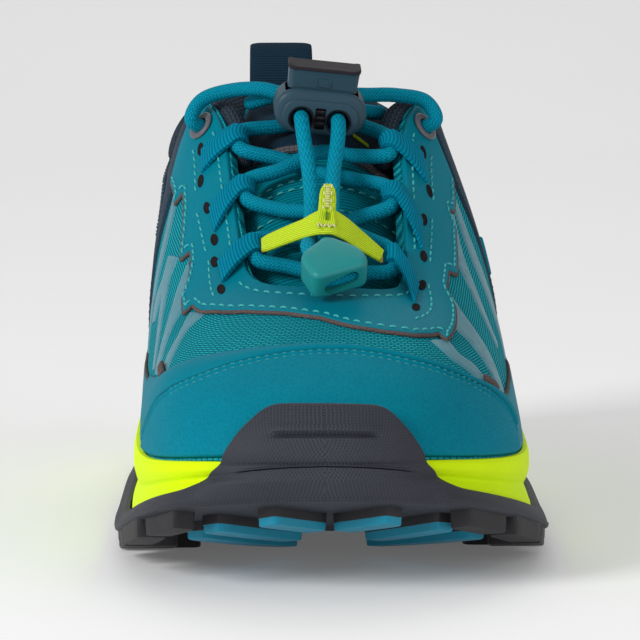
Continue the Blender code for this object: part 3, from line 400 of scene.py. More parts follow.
def tube_skin(skin: Skin, path: Array, radius: float, around: int = 18) -> Skin:
    """A round tube: a circle carried along a path, its ends drawn in as half balls.

    Args:
        skin: The skin it is added to.
        path: The middle line.
        radius: The tube's radius.
        around: How many places make the circle.

    Returns:
        The skin.
    """
    ahead, side, third = carry(path)
    rise = np.radians([90, 60, 30])
    reach = np.sin(rise)[:, None] * radius
    wide = np.cos(rise) * radius
    line = np.vstack([path[0] - reach * ahead[0], path, (path[-1] + reach * ahead[-1])[::-1]])
    sizes = np.concatenate([wide, np.full(len(path), radius), wide[::-1]])
    sizes[[0, -1]] = 0.0
    sides = np.vstack([np.repeat(side[:1], 3, 0), side, np.repeat(side[-1:], 3, 0)])
    thirds = np.vstack([np.repeat(third[:1], 3, 0), third, np.repeat(third[-1:], 3, 0)])
    turn = np.linspace(0, 2 * np.pi, around + 1)[None, :, None]
    circle = np.cos(turn) * sides[:, None] + np.sin(turn) * thirds[:, None]
    points = line[:, None] + circle * sizes[:, None, None]
    points[:, -1] = points[:, 0]
    run = np.broadcast_to(spread(line)[:, None], points.shape[:2])
    girth = np.broadcast_to(turn[..., 0] * radius, points.shape[:2])
    return skin.grid(points, np.stack([run, girth], axis=2))


def band_skin(
    skin: Skin, path: Array, width_axis: Array, widths: Array, thick: float, columns: int, crown: float = 0.0
) -> Skin:
    """A strap: a flat section with rounded edges carried along a path.

    Args:
        skin: The skin it is added to.
        path: The middle line.
        width_axis: The direction of its width, one or one for each place.
        widths: Its width at each place.
        thick: Its thickness.
        columns: How many places lie across it.
        crown: How far its middle stands out.

    Returns:
        The skin.
    """
    ahead = unit(np.gradient(path, axis=0))
    across = np.broadcast_to(np.asarray(width_axis, float), path.shape)
    across = unit(across - ahead * np.sum(across * ahead, axis=1, keepdims=True))
    off = np.cross(ahead, across)
    share = np.sin(np.linspace(-np.pi / 2, np.pi / 2, columns))
    half = thick / 2 * np.sqrt(np.clip(1 - np.abs(share) ** 6, 0, 1))
    flat = path[:, None] + across[:, None] * (share * np.reshape(widths, (-1, 1)) / 2)[..., None]
    flat = flat + off[:, None] * (crown * (1 - share**2))[None, :, None]
    return skin.shell(flat + off[:, None] * half[None, :, None], flat - off[:, None] * half[None, :, None])


def oval_skin(
    skin: Skin, centre: Array, first: Array, second: Array, out: Array, rows: Rows, around: int = 24
) -> Skin:
    """A flat oval drawn in towards its middle and sunk at its rim.

    Args:
        skin: The skin it is added to.
        centre: Its middle.
        first: Half its length, as a vector.
        second: Half its width, as a vector.
        out: The direction it faces.
        rows: Size as a share and height in millimetres, from the middle outwards.
        around: How many places make the oval.

    Returns:
        The skin.
    """
    size, rise = np.array(rows).T[:, :, None, None]
    turn = np.linspace(0, 2 * np.pi, around + 1)[None, :, None]
    grid = centre + size * (np.cos(turn) * first + np.sin(turn) * second) + rise * MM * out
    grid[:, -1] = grid[:, 0]
    return skin.grid(grid)


# ===== Finishes =====


class Value:
    """A node's socket that can be written in sums: each operation adds a Math node."""

    def __init__(self, board: "Board", socket: bpy.types.NodeSocket) -> None:
        """Keeps the socket and the board it is on."""
        self.board = board
        self.socket = socket

    def maths(self, operation: str, *others: "Value | float", flip: bool = False) -> "Value":
        """Adds a Math node.

        Args:
            operation: The node's operation.
            others: The further values.
            flip: Whether this value comes second.

        Returns:
            The result.
        """
        values = [*others, self] if flip else [self, *others]
        return self.board.read("ShaderNodeMath", {"operation": operation}, dict(enumerate(values)), 0)

    __add__ = __radd__ = partialmethod(maths, "ADD")
    __mul__ = __rmul__ = partialmethod(maths, "MULTIPLY")
    __sub__ = partialmethod(maths, "SUBTRACT")
    __rsub__ = partialmethod(maths, "SUBTRACT", flip=True)
    __truediv__ = partialmethod(maths, "DIVIDE")
    __pow__ = partialmethod(maths, "POWER")
    __abs__ = partialmethod(maths, "ABSOLUTE")
    floor = partialmethod(maths, "FLOOR")
    most = partialmethod(maths, "MAXIMUM")

    def fold(self) -> "Value":
        """How far off the middle of its whole step the value is: 0 there, 1 at the step's ends."""
        return abs(self.maths("FRACT") - 0.5) * 2

    def step(self, low: float, high: float) -> "Value":
        """Rises smoothly from 0 at low to 1 at high."""
        settings = {"interpolation_type": "SMOOTHSTEP", "clamp": True}
        return self.board.read("ShaderNodeMapRange", settings, {0: self, 1: low, 2: high, 3: 0.0, 4: 1.0}, 0)


class Board:
    """The node board of one finish."""

    def __init__(self, name: str) -> None:
        """Makes a material with its shader.

        Args:
            name: The material's name.
        """
        self.material = bpy.data.materials.new(name)
        self.material.use_nodes = True
        self.tree = self.material.node_tree
        self.shader = self.tree.nodes["Principled BSDF"]

    def node(self, kind: str, settings: dict[str, object], sockets: Sockets) -> bpy.types.Node:
        """Makes any node.

        Args:
            kind: Its type.
            settings: Its properties.
            sockets: The values or links of its inputs.

        Returns:
            The node.
        """
        node = self.tree.nodes.new(kind)
        for key, value in settings.items():
            setattr(node, key, value)
        for key, value in sockets.items():
            self.feed(node, key, value)
        return node

    def feed(self, node: bpy.types.Node, key: str | int, value: object) -> None:
        """Links a value to a node's input, or sets a plain number or colour on it.

        Args:
            node: The node.
            key: The input's name or number.
            value: A value, a number or a colour.
        """
        socket = node.inputs[key]
        if isinstance(value, Value):
            self.tree.links.new(value.socket, socket)
        elif isinstance(value, tuple) and len(value) == 3 and socket.type == "RGBA":
            socket.default_value = (*value, 1.0)
        else:
            socket.default_value = value

    def read(self, kind: str, settings: dict[str, object], sockets: Sockets, out: str | int) -> Value:
        """Makes a node and gives one of its outputs as a value."""
        return Value(self, self.node(kind, settings, sockets).outputs[out])

    def place(self) -> Value:
        """The place on the piece, in its own coordinates."""
        return self.read("ShaderNodeTexCoord", {}, {}, "Object")

    def split(self, vector: Value) -> list[Value]:
        """The three values of a vector."""
        return [Value(self, out) for out in self.node("ShaderNodeSeparateXYZ", {}, {0: vector}).outputs]

    def lengths(self, swap: bool = False) -> list[Value]:
        """The piece's own UV map: metres along and across, or across and along where swapped."""
        pair = self.split(self.read("ShaderNodeTexCoord", {}, {}, "UV"))[:2]
        return pair[::-1] if swap else pair

    def joined(self, x: Value, y: Value) -> Value:
        """A vector from two values."""
        return self.read("ShaderNodeCombineXYZ", {}, {0: x, 1: y}, 0)

    def noise(self, scale: float, detail: float = 2.0, where: Value | None = None) -> Value:
        """Cloudy noise from 0 to 1 at so many features a metre."""
        sockets = {"Vector": where or self.place(), "Scale": scale, "Detail": detail}
        return self.read("ShaderNodeTexNoise", {}, sockets, 0)

    def mixed(self, share: Value | float, first: Value | Colour, second: Value | Colour) -> Value:
        """The first colour where the share is 0, the second where it is 1."""
        return self.read("ShaderNodeMix", {"data_type": "RGBA"}, {0: share, 6: first, 7: second}, 2)

    def relief(self, height: Value, depth: float) -> Value:
        """The normal of a surface raised by a height times a depth in metres."""
        return self.read("ShaderNodeBump", {}, {"Height": height, "Distance": depth, "Strength": 1.0}, 0)

    def dress(
        self, colour: Value | Colour, roughness: Value | float, normal: Value | None = None, **fixed: object
    ) -> None:
        """Feeds the shader.

        Args:
            colour: The base colour.
            roughness: The roughness.
            normal: The normal, if it is raised.
            fixed: Other sockets by name, with _ for a space, as plain numbers or colours.
        """
        self.feed(self.shader, "Base Color", colour)
        self.feed(self.shader, "Roughness", roughness)
        if normal is not None:
            self.feed(self.shader, "Normal", normal)
        for key, value in fixed.items():
            self.feed(self.shader, key.replace("_", " "), value)


@dataclass(frozen=True)
class Finish:
    """A finish by name; each kind paints its own board."""

    name: str
    colour: Colour

    def paint(self, board: Board) -> None:
        """Lays the finish out on its board."""
        raise NotImplementedError

    def tone(self, times: float, plus: float = 0.0) -> Colour:
        """The colour made lighter or darker, at most white."""
        return tuple(min(1.0, c * times + plus) for c in self.colour)

    def material(self) -> bpy.types.Material:
        """The finish's material, made once.

        Returns:
            The material.
        """
        if self.name not in bpy.data.materials:
            self.paint(Board(self.name))
        return bpy.data.materials[self.name]


@dataclass(frozen=True)
class Grain(Finish):
    """A grained skin: pebbles of one size with cloudy shading."""

    pebble: float = 900.0
    depth: float = 0.10 * MM
    mottle: float = 0.35
    roughness: float = 0.62
    gloss: float = 0.05

    def paint(self, board: Board) -> None:
        """Clouds darken the colour, two sizes of noise raise the grain.

        Args:
            board: The material's nodes.
        """
        coarse = board.noise(self.pebble, 3.0)
        fine = board.noise(self.pebble * 3.1, 2.0)
        cloud = board.noise(self.pebble / 14, 3.0)
        height = coarse.step(0.30, 0.72) * 0.75 + fine * 0.25
        dark, light = self.tone(1 - self.mottle), self.tone(1 + 0.6 * self.mottle)
        colour = board.mixed(height * 0.6 + cloud * 0.4, dark, light)
        normal = board.relief(height, self.depth)
        board.dress(colour, self.roughness + 0.12 * (1 - height), normal, Specular_IOR_Level=self.gloss)


@dataclass(frozen=True)
class Ribbed(Finish):
    """A woven cloth of short raised dashes in staggered rows."""

    thread: Colour = (0.1, 0.35, 0.4)
    row: float = 0.75 * MM
    dash: float = 1.30 * MM
    depth: float = 0.14 * MM

    def paint(self, board: Board) -> None:
        """Rows across the second length, dashes along the first, each row half a dash on.

        Args:
            board: The material's nodes.
        """
        along, across = board.lengths()
        sway = board.noise(260.0, 2.0) - 0.5
        rows = across / self.row + sway * 0.7
        shift = along / self.dash + 0.5 * rows.floor() + sway * 0.5
        dash = (1 - rows.fold().step(0.25, 0.85)) * (1 - shift.fold().step(0.62, 0.98))
        fluff = board.noise(4200.0, 3.0)
        cloud = board.noise(60.0, 2.0)
        lit = dash * (0.45 + 0.55 * fluff) * (0.55 + 0.9 * cloud)
        base = board.mixed(cloud * 0.6, self.colour, self.tone(0.7))
        colour = board.mixed(lit, base, self.thread)
        normal = board.relief(dash * 0.8 + fluff * 0.2, self.depth)
        board.dress(colour, 0.85 - 0.15 * dash, normal, Specular_IOR_Level=0.03)


@dataclass(frozen=True)
class Twill(Finish):
    """A knit or twill: slanted yarns, with fluff."""

    thread: Colour = (0.05, 0.09, 0.13)
    pitch: float = 0.85 * MM
    slant: float = 0.5
    depth: float = 0.12 * MM

    def paint(self, board: Board) -> None:
        """Yarns lean one way and the other in neighbouring columns, as knitted plaits do.

        Args:
            board: The material's nodes.
        """
        along, across = board.lengths()
        lean = (along / (self.pitch * 1.5)).fold()
        yarn = (across / self.pitch + lean * self.slant).fold()
        height = (1 - yarn**2.0) * (0.35 + 0.65 * lean.step(0.02, 0.25))
        fluff = board.noise(3800.0, 3.0)
        cloud = board.noise(70.0, 2.0)
        colour = board.mixed(height * (0.25 + 0.5 * fluff) + 0.25 * cloud, self.colour, self.thread)
        normal = board.relief(height * 0.8 + fluff * 0.2, self.depth)
        board.dress(colour, 0.88, normal, Specular_IOR_Level=0.03)


@dataclass(frozen=True)
class Webbing(Finish):
    """Ribbed webbing: ribs along the strap, crossed by fine picks."""

    thread: Colour = (0.1, 0.3, 0.4)
    rib: float = 0.80 * MM
    pick: float = 0.45 * MM
    depth: float = 0.14 * MM
    crosswise: bool = False

    def paint(self, board: Board) -> None:
        """Ribs are round across the second length, or the first where they lie crosswise; picks notch
        them the other way.

        Args:
            board: The material's nodes.
        """
        along, across = board.lengths(self.crosswise)
        ribs = across / self.rib
        pick = (along / self.pick + 0.5 * ribs.floor()).fold()
        fluff = board.noise(4500.0, 3.0)
        height = (1 - ribs.fold() ** 2.0) * (0.7 + 0.3 * pick)
        colour = board.mixed(height * (0.45 + 0.55 * fluff), self.colour, self.thread)
        normal = board.relief(height * 0.85 + fluff * 0.15, self.depth)
        board.dress(colour, 0.80, normal, Specular_IOR_Level=0.03)


@dataclass(frozen=True)
class Braid(Finish):
    """A round plaited cord: two families of strands that wind opposite ways."""

    # The pale colour of the strands' crests: partly the yarn's own lighter tone, partly painted highlight of
    # the light along the weave
    thread: Colour = (0.05, 0.3, 0.4)
    radius: float = 1.6 * MM
    strands: float = 5.0
    lay: float = 4.2 * MM
    depth: float = 0.16 * MM

    def paint(self, board: Board) -> None:
        """Each family is round across its strands; where they cross, they pass over in turn.

        Args:
            board: The material's nodes.
        """
        along, girth = board.lengths()
        turn = girth / (2 * math.pi * self.radius) * self.strands
        run = along / self.lay * self.strands * 0.5
        right, left = run + turn, run - turn
        over = ((right.floor() + left.floor()) * 0.5).maths("FRACT") * 2
        height = (1 - right.fold() ** 2.0) * over + (1 - left.fold() ** 2.0) * (1 - over)
        fibre = board.noise(5200.0, 3.0)
        # Painted highlight and painted shade: the crests take the pale thread colour and the grooves keep the
        # dark base colour
        shade = height.step(0.0, 0.7) * (0.35 + 0.65 * fibre)
        colour = board.mixed(shade, self.colour, self.thread)
        normal = board.relief(height * 0.85 + fibre * 0.15, self.depth)
        board.dress(colour, 0.72, normal, Specular_IOR_Level=0.06)


@dataclass(frozen=True)
class Hatched(Finish):
    """Moulded rubber with a fine diamond cross hatch."""

    pitch: float = 0.80 * MM
    depth: float = 0.06 * MM
    roughness: float = 0.6
    off_centre: float = 5 * MM

    def paint(self, board: Board) -> None:
        """Two sets of slanted lines, cut by noise where the mould is worn; dust lies in broad clouds.

        Args:
            board: The material's nodes.
        """
        x, y, across = board.split(board.place())
        along = abs(x + self.off_centre) + y
        ways = (along + across * 0.8, along - across * 0.8)
        first, second = ((way / self.pitch).fold().step(0.45, 0.95) for way in ways)
        line = first.most(second)
        speck = board.noise(1500.0, 3.0)
        cloud = board.noise(60.0, 3.0)
        light = line * 0.4 * (0.4 + cloud) + speck.step(0.55, 0.85) * 0.2
        colour = board.mixed(light, self.colour, self.tone(2.4, 0.03))
        normal = board.relief(line * 0.8 + speck * 0.2, self.depth)
        board.dress(colour, self.roughness + 0.2 * (speck - 0.5), normal, Specular_IOR_Level=0.25)


@dataclass(frozen=True)
class Brushed(Finish):
    """A metallic-looking print film with dark brush strokes along it."""

    stroke: Colour = (0.02, 0.05, 0.06)

    def paint(self, board: Board) -> None:
        """Noise stretched along the first length is cut into strokes; a broad cloud wears them away.

        Args:
            board: The material's nodes.
        """
        along, across = board.lengths()
        streak = board.noise(1.0, 3.0, board.joined(along * 320.0, across * 3600.0))
        wear = board.noise(150.0, 2.0)
        mark = streak.step(0.56, 0.66) * wear.step(0.38, 0.62)
        pale = board.mixed(wear, self.colour, self.tone(1.45, 0.02))
        colour = board.mixed(mark * 0.85, pale, self.stroke)
        board.dress(colour, 0.42 + 0.25 * mark, board.relief(1 - mark, 0.05 * MM))


@dataclass(frozen=True)
class Moulded(Finish):
    """Moulded foam or plastic: a fine even skin with slight clouds."""

    roughness: float = 0.5
    pore: float = 1800.0
    depth: float = 0.03 * MM
    cloud: float = 0.15
    gloss: float = 0.30

    def paint(self, board: Board) -> None:
        """Fine noise raises the skin; broad noise shifts its colour.

        Args:
            board: The material's nodes.
        """
        fine = board.noise(self.pore, 3.0)
        broad = board.noise(90.0, 3.0)
        colour = board.mixed(broad * 0.7 + fine * 0.3, self.tone(1 - self.cloud), self.tone(1 + self.cloud))
        normal = board.relief(fine, self.depth)
        board.dress(colour, self.roughness + 0.12 * (broad - 0.5), normal, Specular_IOR_Level=self.gloss)


@dataclass(frozen=True)
class Thread(Finish):
    """Sewing thread: two plies twisted along each stitch."""

    def paint(self, board: Board) -> None:
        """Plies slant across the stitch's length.

        Args:
            board: The material's nodes.
        """
        along, across = board.lengths()
        height = 1 - ((along + across * 0.6) / (0.45 * MM)).fold()
        fluff = board.noise(5000.0, 2.0)
        colour = board.mixed(height * 0.6 + fluff * 0.4, self.tone(0.55), self.colour)
        board.dress(colour, 0.7, board.relief(height, 0.05 * MM))


@dataclass(frozen=True)
class Paper(Finish):
    """The studio's plain pale floor."""

    def paint(self, board: Board) -> None:
        """A faint cloud in the paper."""
        colour = board.mixed(board.noise(8.0, 2.0), self.tone(0.985), self.colour)
        board.dress(colour, 0.9, Emission_Color=(1.0, 1.0, 1.0), Emission_Strength=0.10)


MESH = Ribbed("teal_mesh_cloth", (0.0, 0.115, 0.162), thread=(0.02, 0.44, 0.49), row=0.85 * MM, dash=1.5 * MM)
TONGUE_MESH = Webbing(
    "teal_tongue_knit", (0.0, 0.080, 0.118), thread=(0.0, 0.285, 0.355), rib=0.98 * MM, pick=0.9 * MM,
    depth=0.25 * MM, crosswise=True,
)
SUEDE = Grain("teal_suede_grain", (0.0, 0.190, 0.268), pebble=1900.0, depth=0.07 * MM, mottle=0.22)
FILM = Grain("teal_film", (0.0, 0.175, 0.242), pebble=2600.0, depth=0.018 * MM, mottle=0.08, roughness=0.46)
STRIPE = Brushed("silver_blue_stripe", (0.038, 0.170, 0.218))
FELT = Grain(
    "grey_brown_felt", (0.135, 0.100, 0.096), pebble=3200.0, depth=0.16 * MM, mottle=0.6, roughness=0.92
)
# Painted shade: near-black flat ovals that stand for the shade inside the loops' slots
SLOT_SHADE = Grain(
    "painted_slot_shade", (0.022, 0.018, 0.019), pebble=3200.0, depth=0.16 * MM, mottle=0.6, roughness=0.95
)
WOOL = Twill(
    "grey_wool_hem", (0.03, 0.034, 0.045), thread=(0.24, 0.22, 0.23), pitch=0.7 * MM, depth=0.25 * MM
)
LINING = Twill("navy_lining", (0.006, 0.016, 0.028), thread=(0.02, 0.04, 0.06))
KNIT = Twill(
    "navy_knit_cloth", (0.007, 0.014, 0.024), thread=(0.060, 0.080, 0.105), pitch=1.0 * MM, depth=0.22 * MM
)
PANEL = Grain(
    "navy_panel_skin", (0.010, 0.030, 0.052), pebble=1800.0, depth=0.03 * MM, mottle=0.25, roughness=0.5
)
NAVY_WEBBING = Webbing(
    "navy_loop_webbing", (0.006, 0.014, 0.026), thread=(0.014, 0.040, 0.066), rib=0.62 * MM,
    pick=0.6 * MM, depth=0.12 * MM, crosswise=True,
)
FOAM = Moulded(
    "lime_foam_skin", (0.64, 0.88, 0.004), roughness=0.6, pore=1400.0, depth=0.03 * MM, cloud=0.05, gloss=0.05
)
RUBBER = Hatched("dark_rubber_skin", (0.020, 0.022, 0.031))
WALL_RUBBER = Moulded(
    "dark_rubber_wall", (0.020, 0.019, 0.022), roughness=0.62, pore=900.0, depth=0.10 * MM, cloud=0.45
)
LUG_RUBBER = Moulded("blue_rubber_skin", (0.0, 0.225, 0.350), roughness=0.45, cloud=0.18)
# Both braids' pale thread colours are partly painted highlight on the strand crests, and their dark base
# colours are partly painted shade in the grooves
CORD_BRAID = Braid(
    "blue_cord_braid", (0.0, 0.058, 0.112), thread=(0.0, 0.345, 0.490), strands=13.0, lay=5.6 * MM,
    depth=0.13 * MM,
)
TAIL_BRAID = Braid(
    "blue_tail_braid", (0.0, 0.085, 0.150), thread=(0.0, 0.345, 0.490), strands=12.0, lay=15.0 * MM,
    depth=0.11 * MM,
)
LOOP_WEBBING = Webbing(
    "blue_loop_webbing", (0.0, 0.095, 0.165), thread=(0.0, 0.285, 0.425), rib=0.85 * MM, pick=0.45 * MM,
    depth=0.16 * MM, crosswise=True,
)
LIME_WEBBING = Webbing(
    "lime_webbing_weave", (0.30, 0.43, 0.006), thread=(0.70, 0.88, 0.055), rib=0.45 * MM, pick=0.5 * MM,
    depth=0.10 * MM,
)
LOCK_PLASTIC = Moulded("slate_plastic_skin", (0.022, 0.056, 0.080), roughness=0.42, cloud=0.12, gloss=0.22)
RIM_PLASTIC = Moulded("brown_grey_plastic", (0.022, 0.019, 0.023), roughness=0.6, cloud=0.15, gloss=0.10)
# Painted shade: the darker plastic that the cutters hand on to the cut faces inside the lock's holes, pocket
# and window
HOLE_SHADE_PLASTIC = Moulded("painted_hole_shade", (0.010, 0.013, 0.018), roughness=0.6, cloud=0.2)
END_RUBBER = Moulded("green_rubber_skin", (0.010, 0.225, 0.225), roughness=0.42, cloud=0.08)
RING_METAL = Moulded("grey_ring_skin", (0.110, 0.110, 0.125), roughness=0.4, cloud=0.2)
PALE_THREAD = Thread("pale_teal_thread", (0.05, 0.50, 0.50))
DEEP_THREAD = Thread("deep_teal_thread", (0.02, 0.30, 0.33))
NAVY_THREAD = Thread("navy_thread", (0.05, 0.09, 0.14))
RAW_EDGE = Moulded("brown_raw_edge", (0.30, 0.26, 0.05), roughness=0.9, cloud=0.5, gloss=0.05)
# Painted shade: the dark green oval that stands for the shade inside the keeper's slit
SLIT_SHADE = Moulded("painted_slit_shade", (0.06, 0.20, 0.01), roughness=0.8, cloud=0.3)
CREAM_THREAD = Thread("cream_thread", (0.82, 0.78, 0.42))
FLOOR = Paper("studio_paper", (0.92, 0.92, 0.92))


# ===== The form of the shoe =====

# The line where the upper meets the sole, toe to heel: shares of the length from the toe and of half
# the ball width from the middle, outer side then inner side.
FEATHER = (
    (0.0185, -0.140, 0.0185, -0.140),
    (0.034, 0.270, 0.034, -0.550),
    (0.090, 0.630, 0.088, -0.840),
    (0.190, 0.900, 0.188, -0.975),
    (0.325, 1.000, 0.312, -1.017),
    (0.440, 1.018, 0.420, -1.000),
    (0.556, 0.980, 0.528, -0.955),
    (0.675, 0.850, 0.644, -0.920),
    (0.790, 0.715, 0.775, -0.905),
    (0.908, 0.450, 0.910, -0.730),
    (0.9737, -0.150, 0.9737, -0.150),
)

# The edge of throat and collar: shares of length, half width and collar height, outer then inner
TOPLINE = (
    (0.272, 0.000, 0.590, 0.272, 0.000, 0.590),
    (0.268, 0.190, 0.588, 0.277, -0.210, 0.593),
    (0.281, 0.340, 0.603, 0.296, -0.415, 0.612),
    (0.338, 0.375, 0.690, 0.354, -0.480, 0.698),
    (0.416, 0.397, 0.823, 0.430, -0.520, 0.830),
    (0.492, 0.440, 0.948, 0.504, -0.570, 0.950),
    (0.566, 0.630, 0.968, 0.578, -0.733, 0.968),
    (0.700, 0.745, 0.830, 0.706, -0.850, 0.830),
    (0.816, 0.655, 0.848, 0.820, -0.840, 0.848),
    (0.912, 0.330, 0.925, 0.914, -0.630, 0.925),
    (0.948, -0.160, 0.955, 0.948, -0.160, 0.955),
)

# The wall: lean at the sole in degrees and its pull, slope at the opening in degrees and its pull
WALL_SHAPE = (
    (-6, 0.235, 14, 0.50),
    (-5, 0.230, 16, 0.46),
    (-4, 0.230, 26, 0.40),
    (-3, 0.210, 37, 0.36),
    (-3, 0.215, 43, 0.33),
    (0, 0.255, 48, 0.33),
    (6, 0.300, 68, 0.34),
    (10, 0.330, 82, 0.33),
    (10, 0.340, 86, 0.33),
    (10, 0.340, 80, 0.34),
    (12, 0.340, 74, 0.36),
)


@dataclass(frozen=True)
class Last:
    """The form all pieces lie on. Knots run round the shoe, 0 at the toe tip, 10 at the heel, below
    zero on the inner side; shares run up the wall from the sole, 0, to the opening, 1."""

    length: float = 228 * MM
    ball_width: float = 78 * MM
    collar_height: float = 92 * MM
    sole_at_toe: float = 28 * MM
    sole_at_ball: float = 21.5 * MM
    sole_at_heel: float = 30 * MM
    arch_rise: float = 2.5 * MM
    toe_spring: float = 17 * MM
    spring_curve: float = 1.35
    heel_bevel: float = 3 * MM
    lug_height: float = 3.4 * MM
    tread_arch: float = 3 * MM
    flange_height: float = 7 * MM
    ball_share: float = 0.31
    heel_share: float = 0.84
    bevel_share: float = 0.90
    half_round: int = 10
    line_spacing: float = 0.4 * MM

    def ring(self, rows: Rows, outer: Sequence[int], inner: Sequence[int]) -> Array:
        """Lists columns of a table once round the shoe: toe, outer side, heel, inner side."""
        table = np.asarray(rows, float)
        return np.vstack([table[:, outer], table[-2:0:-1][:, inner]])

    def share(self, y: Array) -> Array:
        """The share of the length from the toe."""
        return y / self.length + 0.5

    def ground(self, y: Array) -> Array:
        """The tread's lowest surface: the toe springs up by a power of the way to the toe, the heel is
        bevelled by its square.

        Args:
            y: Places along the shoe.

        Returns:
            Its height at each.
        """
        share = self.share(y)
        toe = np.clip((self.ball_share - share) / self.ball_share, 0, 1) ** self.spring_curve
        heel = np.clip((share - self.bevel_share) / (1 - self.bevel_share), 0, 1) ** 2
        return toe * self.toe_spring + heel * self.heel_bevel

    def tread(self, y: Array) -> Array:
        """The outsole's underside between the lugs, lifted under the arch.

        Args:
            y: Places along the shoe.

        Returns:
            Its height at each.
        """
        share = self.share(y)
        arch = ease((share - 0.40) / 0.14) * ease((0.72 - share) / 0.14)
        return self.ground(y) + self.lug_height + arch * self.tread_arch

    def joint(self, y: Array) -> Array:
        """Where the midsole stands on the outsole's flange."""
        return self.tread(y) + self.flange_height - self.lug_height

    def bite(self, knots: Array, y: Array) -> Array:
        """The height of the line where the upper goes into the sole, lifted inside the arch.

        Args:
            knots: Places round the shoe.
            y: Their places along it.

        Returns:
            The line's height at each.
        """
        share = self.share(y)
        toe = np.clip((self.ball_share - share) / self.ball_share, 0, 1) ** 2
        heel = ease((share - self.ball_share) / (self.heel_share - self.ball_share))
        inside = np.clip(-np.sin(np.pi * knots / self.half_round), 0, 1)
        arch = np.exp(-(((share - 0.54) / 0.13) ** 2)) * inside * self.arch_rise
        rise = toe * (self.sole_at_toe - self.sole_at_ball) + heel * (self.sole_at_heel - self.sole_at_ball)
        return self.sole_at_ball + rise + arch

    def plan(self, rows: Array) -> Array:
        """Turns shares along and across into metres."""
        return np.stack([rows[:, 1] * self.ball_width / 2, (rows[:, 0] - 0.5) * self.length], axis=1)

    def feather(self, knots: Array) -> Array:
        """The upper's foot on the sole at knots in one row."""
        flat = closed_spline(self.plan(self.ring(FEATHER, (0, 1), (2, 3))), knots)
        return np.column_stack([flat, self.bite(knots, flat[:, 1])])

    def away(self, knots: Array) -> Array:
        """The level direction square to the foot line, pointing off the shoe."""
        ahead = self.feather(knots + 0.01) - self.feather(knots - 0.01)
        return unit(np.column_stack([ahead[:, 1], -ahead[:, 0], np.zeros(len(ahead))]))

    def edge(self, knots: Array) -> Array:
        """The edge of throat and collar at knots in one row."""
        rows = self.ring(TOPLINE, (0, 1, 2), (3, 4, 5))
        return closed_spline(np.column_stack([self.plan(rows), rows[:, 2] * self.collar_height]), knots)

    def face(self, knots: Array, shares: Array) -> Array:
        """The wall at pairs of knot and share: the cubic that leaves the sole with its lean and meets
        the opening with its slope, each with its pull.

        Args:
            knots: Places round the shoe.
            shares: Their shares of the way up, 0 to 1.

        Returns:
            A place on the wall for each pair.
        """
        lean, rise, slope, reach = closed_spline(self.ring(WALL_SHAPE, range(4), range(4)), knots).T
        foot, top, away = self.feather(knots), self.edge(knots), self.away(knots)
        height = np.linalg.norm(top - foot, axis=1)
        lean, slope = np.radians(lean)[:, None], np.radians(slope)[:, None]
        first = foot + (rise * height)[:, None] * (np.cos(lean) * UP + np.sin(lean) * away)
        second = top + (reach * height)[:, None] * (np.cos(slope) * away - np.sin(slope) * UP)
        s = shares[:, None]
        return (1 - s) ** 3 * foot + 3 * s * (1 - s) ** 2 * first + 3 * s * s * (1 - s) * second + s**3 * top

    def change(self, knots: Array, shares: Array, step: float) -> tuple[Array, Array, Array]:
        """How the wall runs over a small step round the shoe and one up it, and that second step.

        Args:
            knots: Places round the shoe.
            shares: Their shares of the way up.
            step: Half of each step, in knots and in shares.

        Returns:
            The run round the shoe, the run up it, and the share that the second covers.
        """
        low, high = np.clip(shares - step, 0, 1), np.clip(shares + step, 0, 1)
        ahead = self.face(knots + step, shares) - self.face(knots - step, shares)
        return ahead, self.face(knots, high) - self.face(knots, low), high - low

    def square(self, knots: Array, shares: Array) -> Array:
        """The outward direction square to the wall at pairs of knot and share."""
        ahead, up, _ = self.change(knots, shares, 0.004)
        return unit(np.cross(ahead, up))

    def wall(self, knots: Array | float, shares: Array | float, out: Array | float = 0.0) -> Array:
        """The wall's outer face moved outwards.

        Args:
            knots: Places round the shoe, in any shape that goes with the others.
            shares: Places up the wall.
            out: How far out from the face.

        Returns:
            The places, with the three coordinates last.
        """
        k, t, o = (a.astype(float) for a in np.broadcast_arrays(knots, shares, out))
        flat = self.face(k.ravel(), t.ravel())
        if np.any(o):
            flat = flat + self.square(k.ravel(), t.ravel()) * o.ravel()[:, None]
        return flat.reshape(k.shape + (3,))

    def stretch(self, knots: Array, shares: Array, step: float = 0.01) -> tuple[Array, Array]:
        """Metres of wall for each knot and for each share, at pairs of knot and share."""
        ahead, up, rise = self.change(knots, shares, step)
        return np.linalg.norm(ahead, axis=1) / (2 * step), np.linalg.norm(up, axis=1) / rise

    def line(self, points: Rows | Array, lift: float, inset: float = 0.0) -> tuple[Array, Array]:
        """A line laid on the wall through pairs of knot and share, read at even spacing.

        Args:
            points: The pairs, joined by straight pieces.
            lift: How far it stands out from the wall.
            inset: How far it is moved to its left within the wall, seen from outside.

        Returns:
            Its places, and the outward direction at each.
        """
        table = np.asarray(points, float)
        at = np.linspace(0, len(table) - 1, 60 * len(table))
        knots, shares = (np.interp(at, np.arange(len(table)), table[:, i]) for i in (0, 1))
        run = spread(self.face(knots, shares))
        even = np.linspace(0, run[-1], max(3, int(run[-1] / self.line_spacing)))
        knots, shares = np.interp(even, run, knots), np.interp(even, run, shares)
        if inset:
            wide, tall = self.stretch(knots, shares)
            ahead = unit(np.stack([np.gradient(knots) * wide, np.gradient(shares) * tall], axis=1))
            soft = np.ones(5) / 5
            ahead = np.stack([np.convolve(np.pad(way, 2, "edge"), soft, "valid") for way in ahead.T], axis=1)
            knots, shares = knots - inset * ahead[:, 1] / wide, shares + inset * ahead[:, 0] / tall
        shares = np.clip(shares, 0.0, 1.0)
        return self.wall(knots, shares, lift), self.square(knots, shares)

    def round(self, columns: int) -> Array:
        """Knots once round the shoe, closer at toe and heel, the first repeated at the end."""
        even = np.linspace(0, 1, columns + 1)
        return 2 * self.half_round * (even - 0.35 * np.sin(4 * np.pi * even) / (4 * np.pi))


LAST = Last()


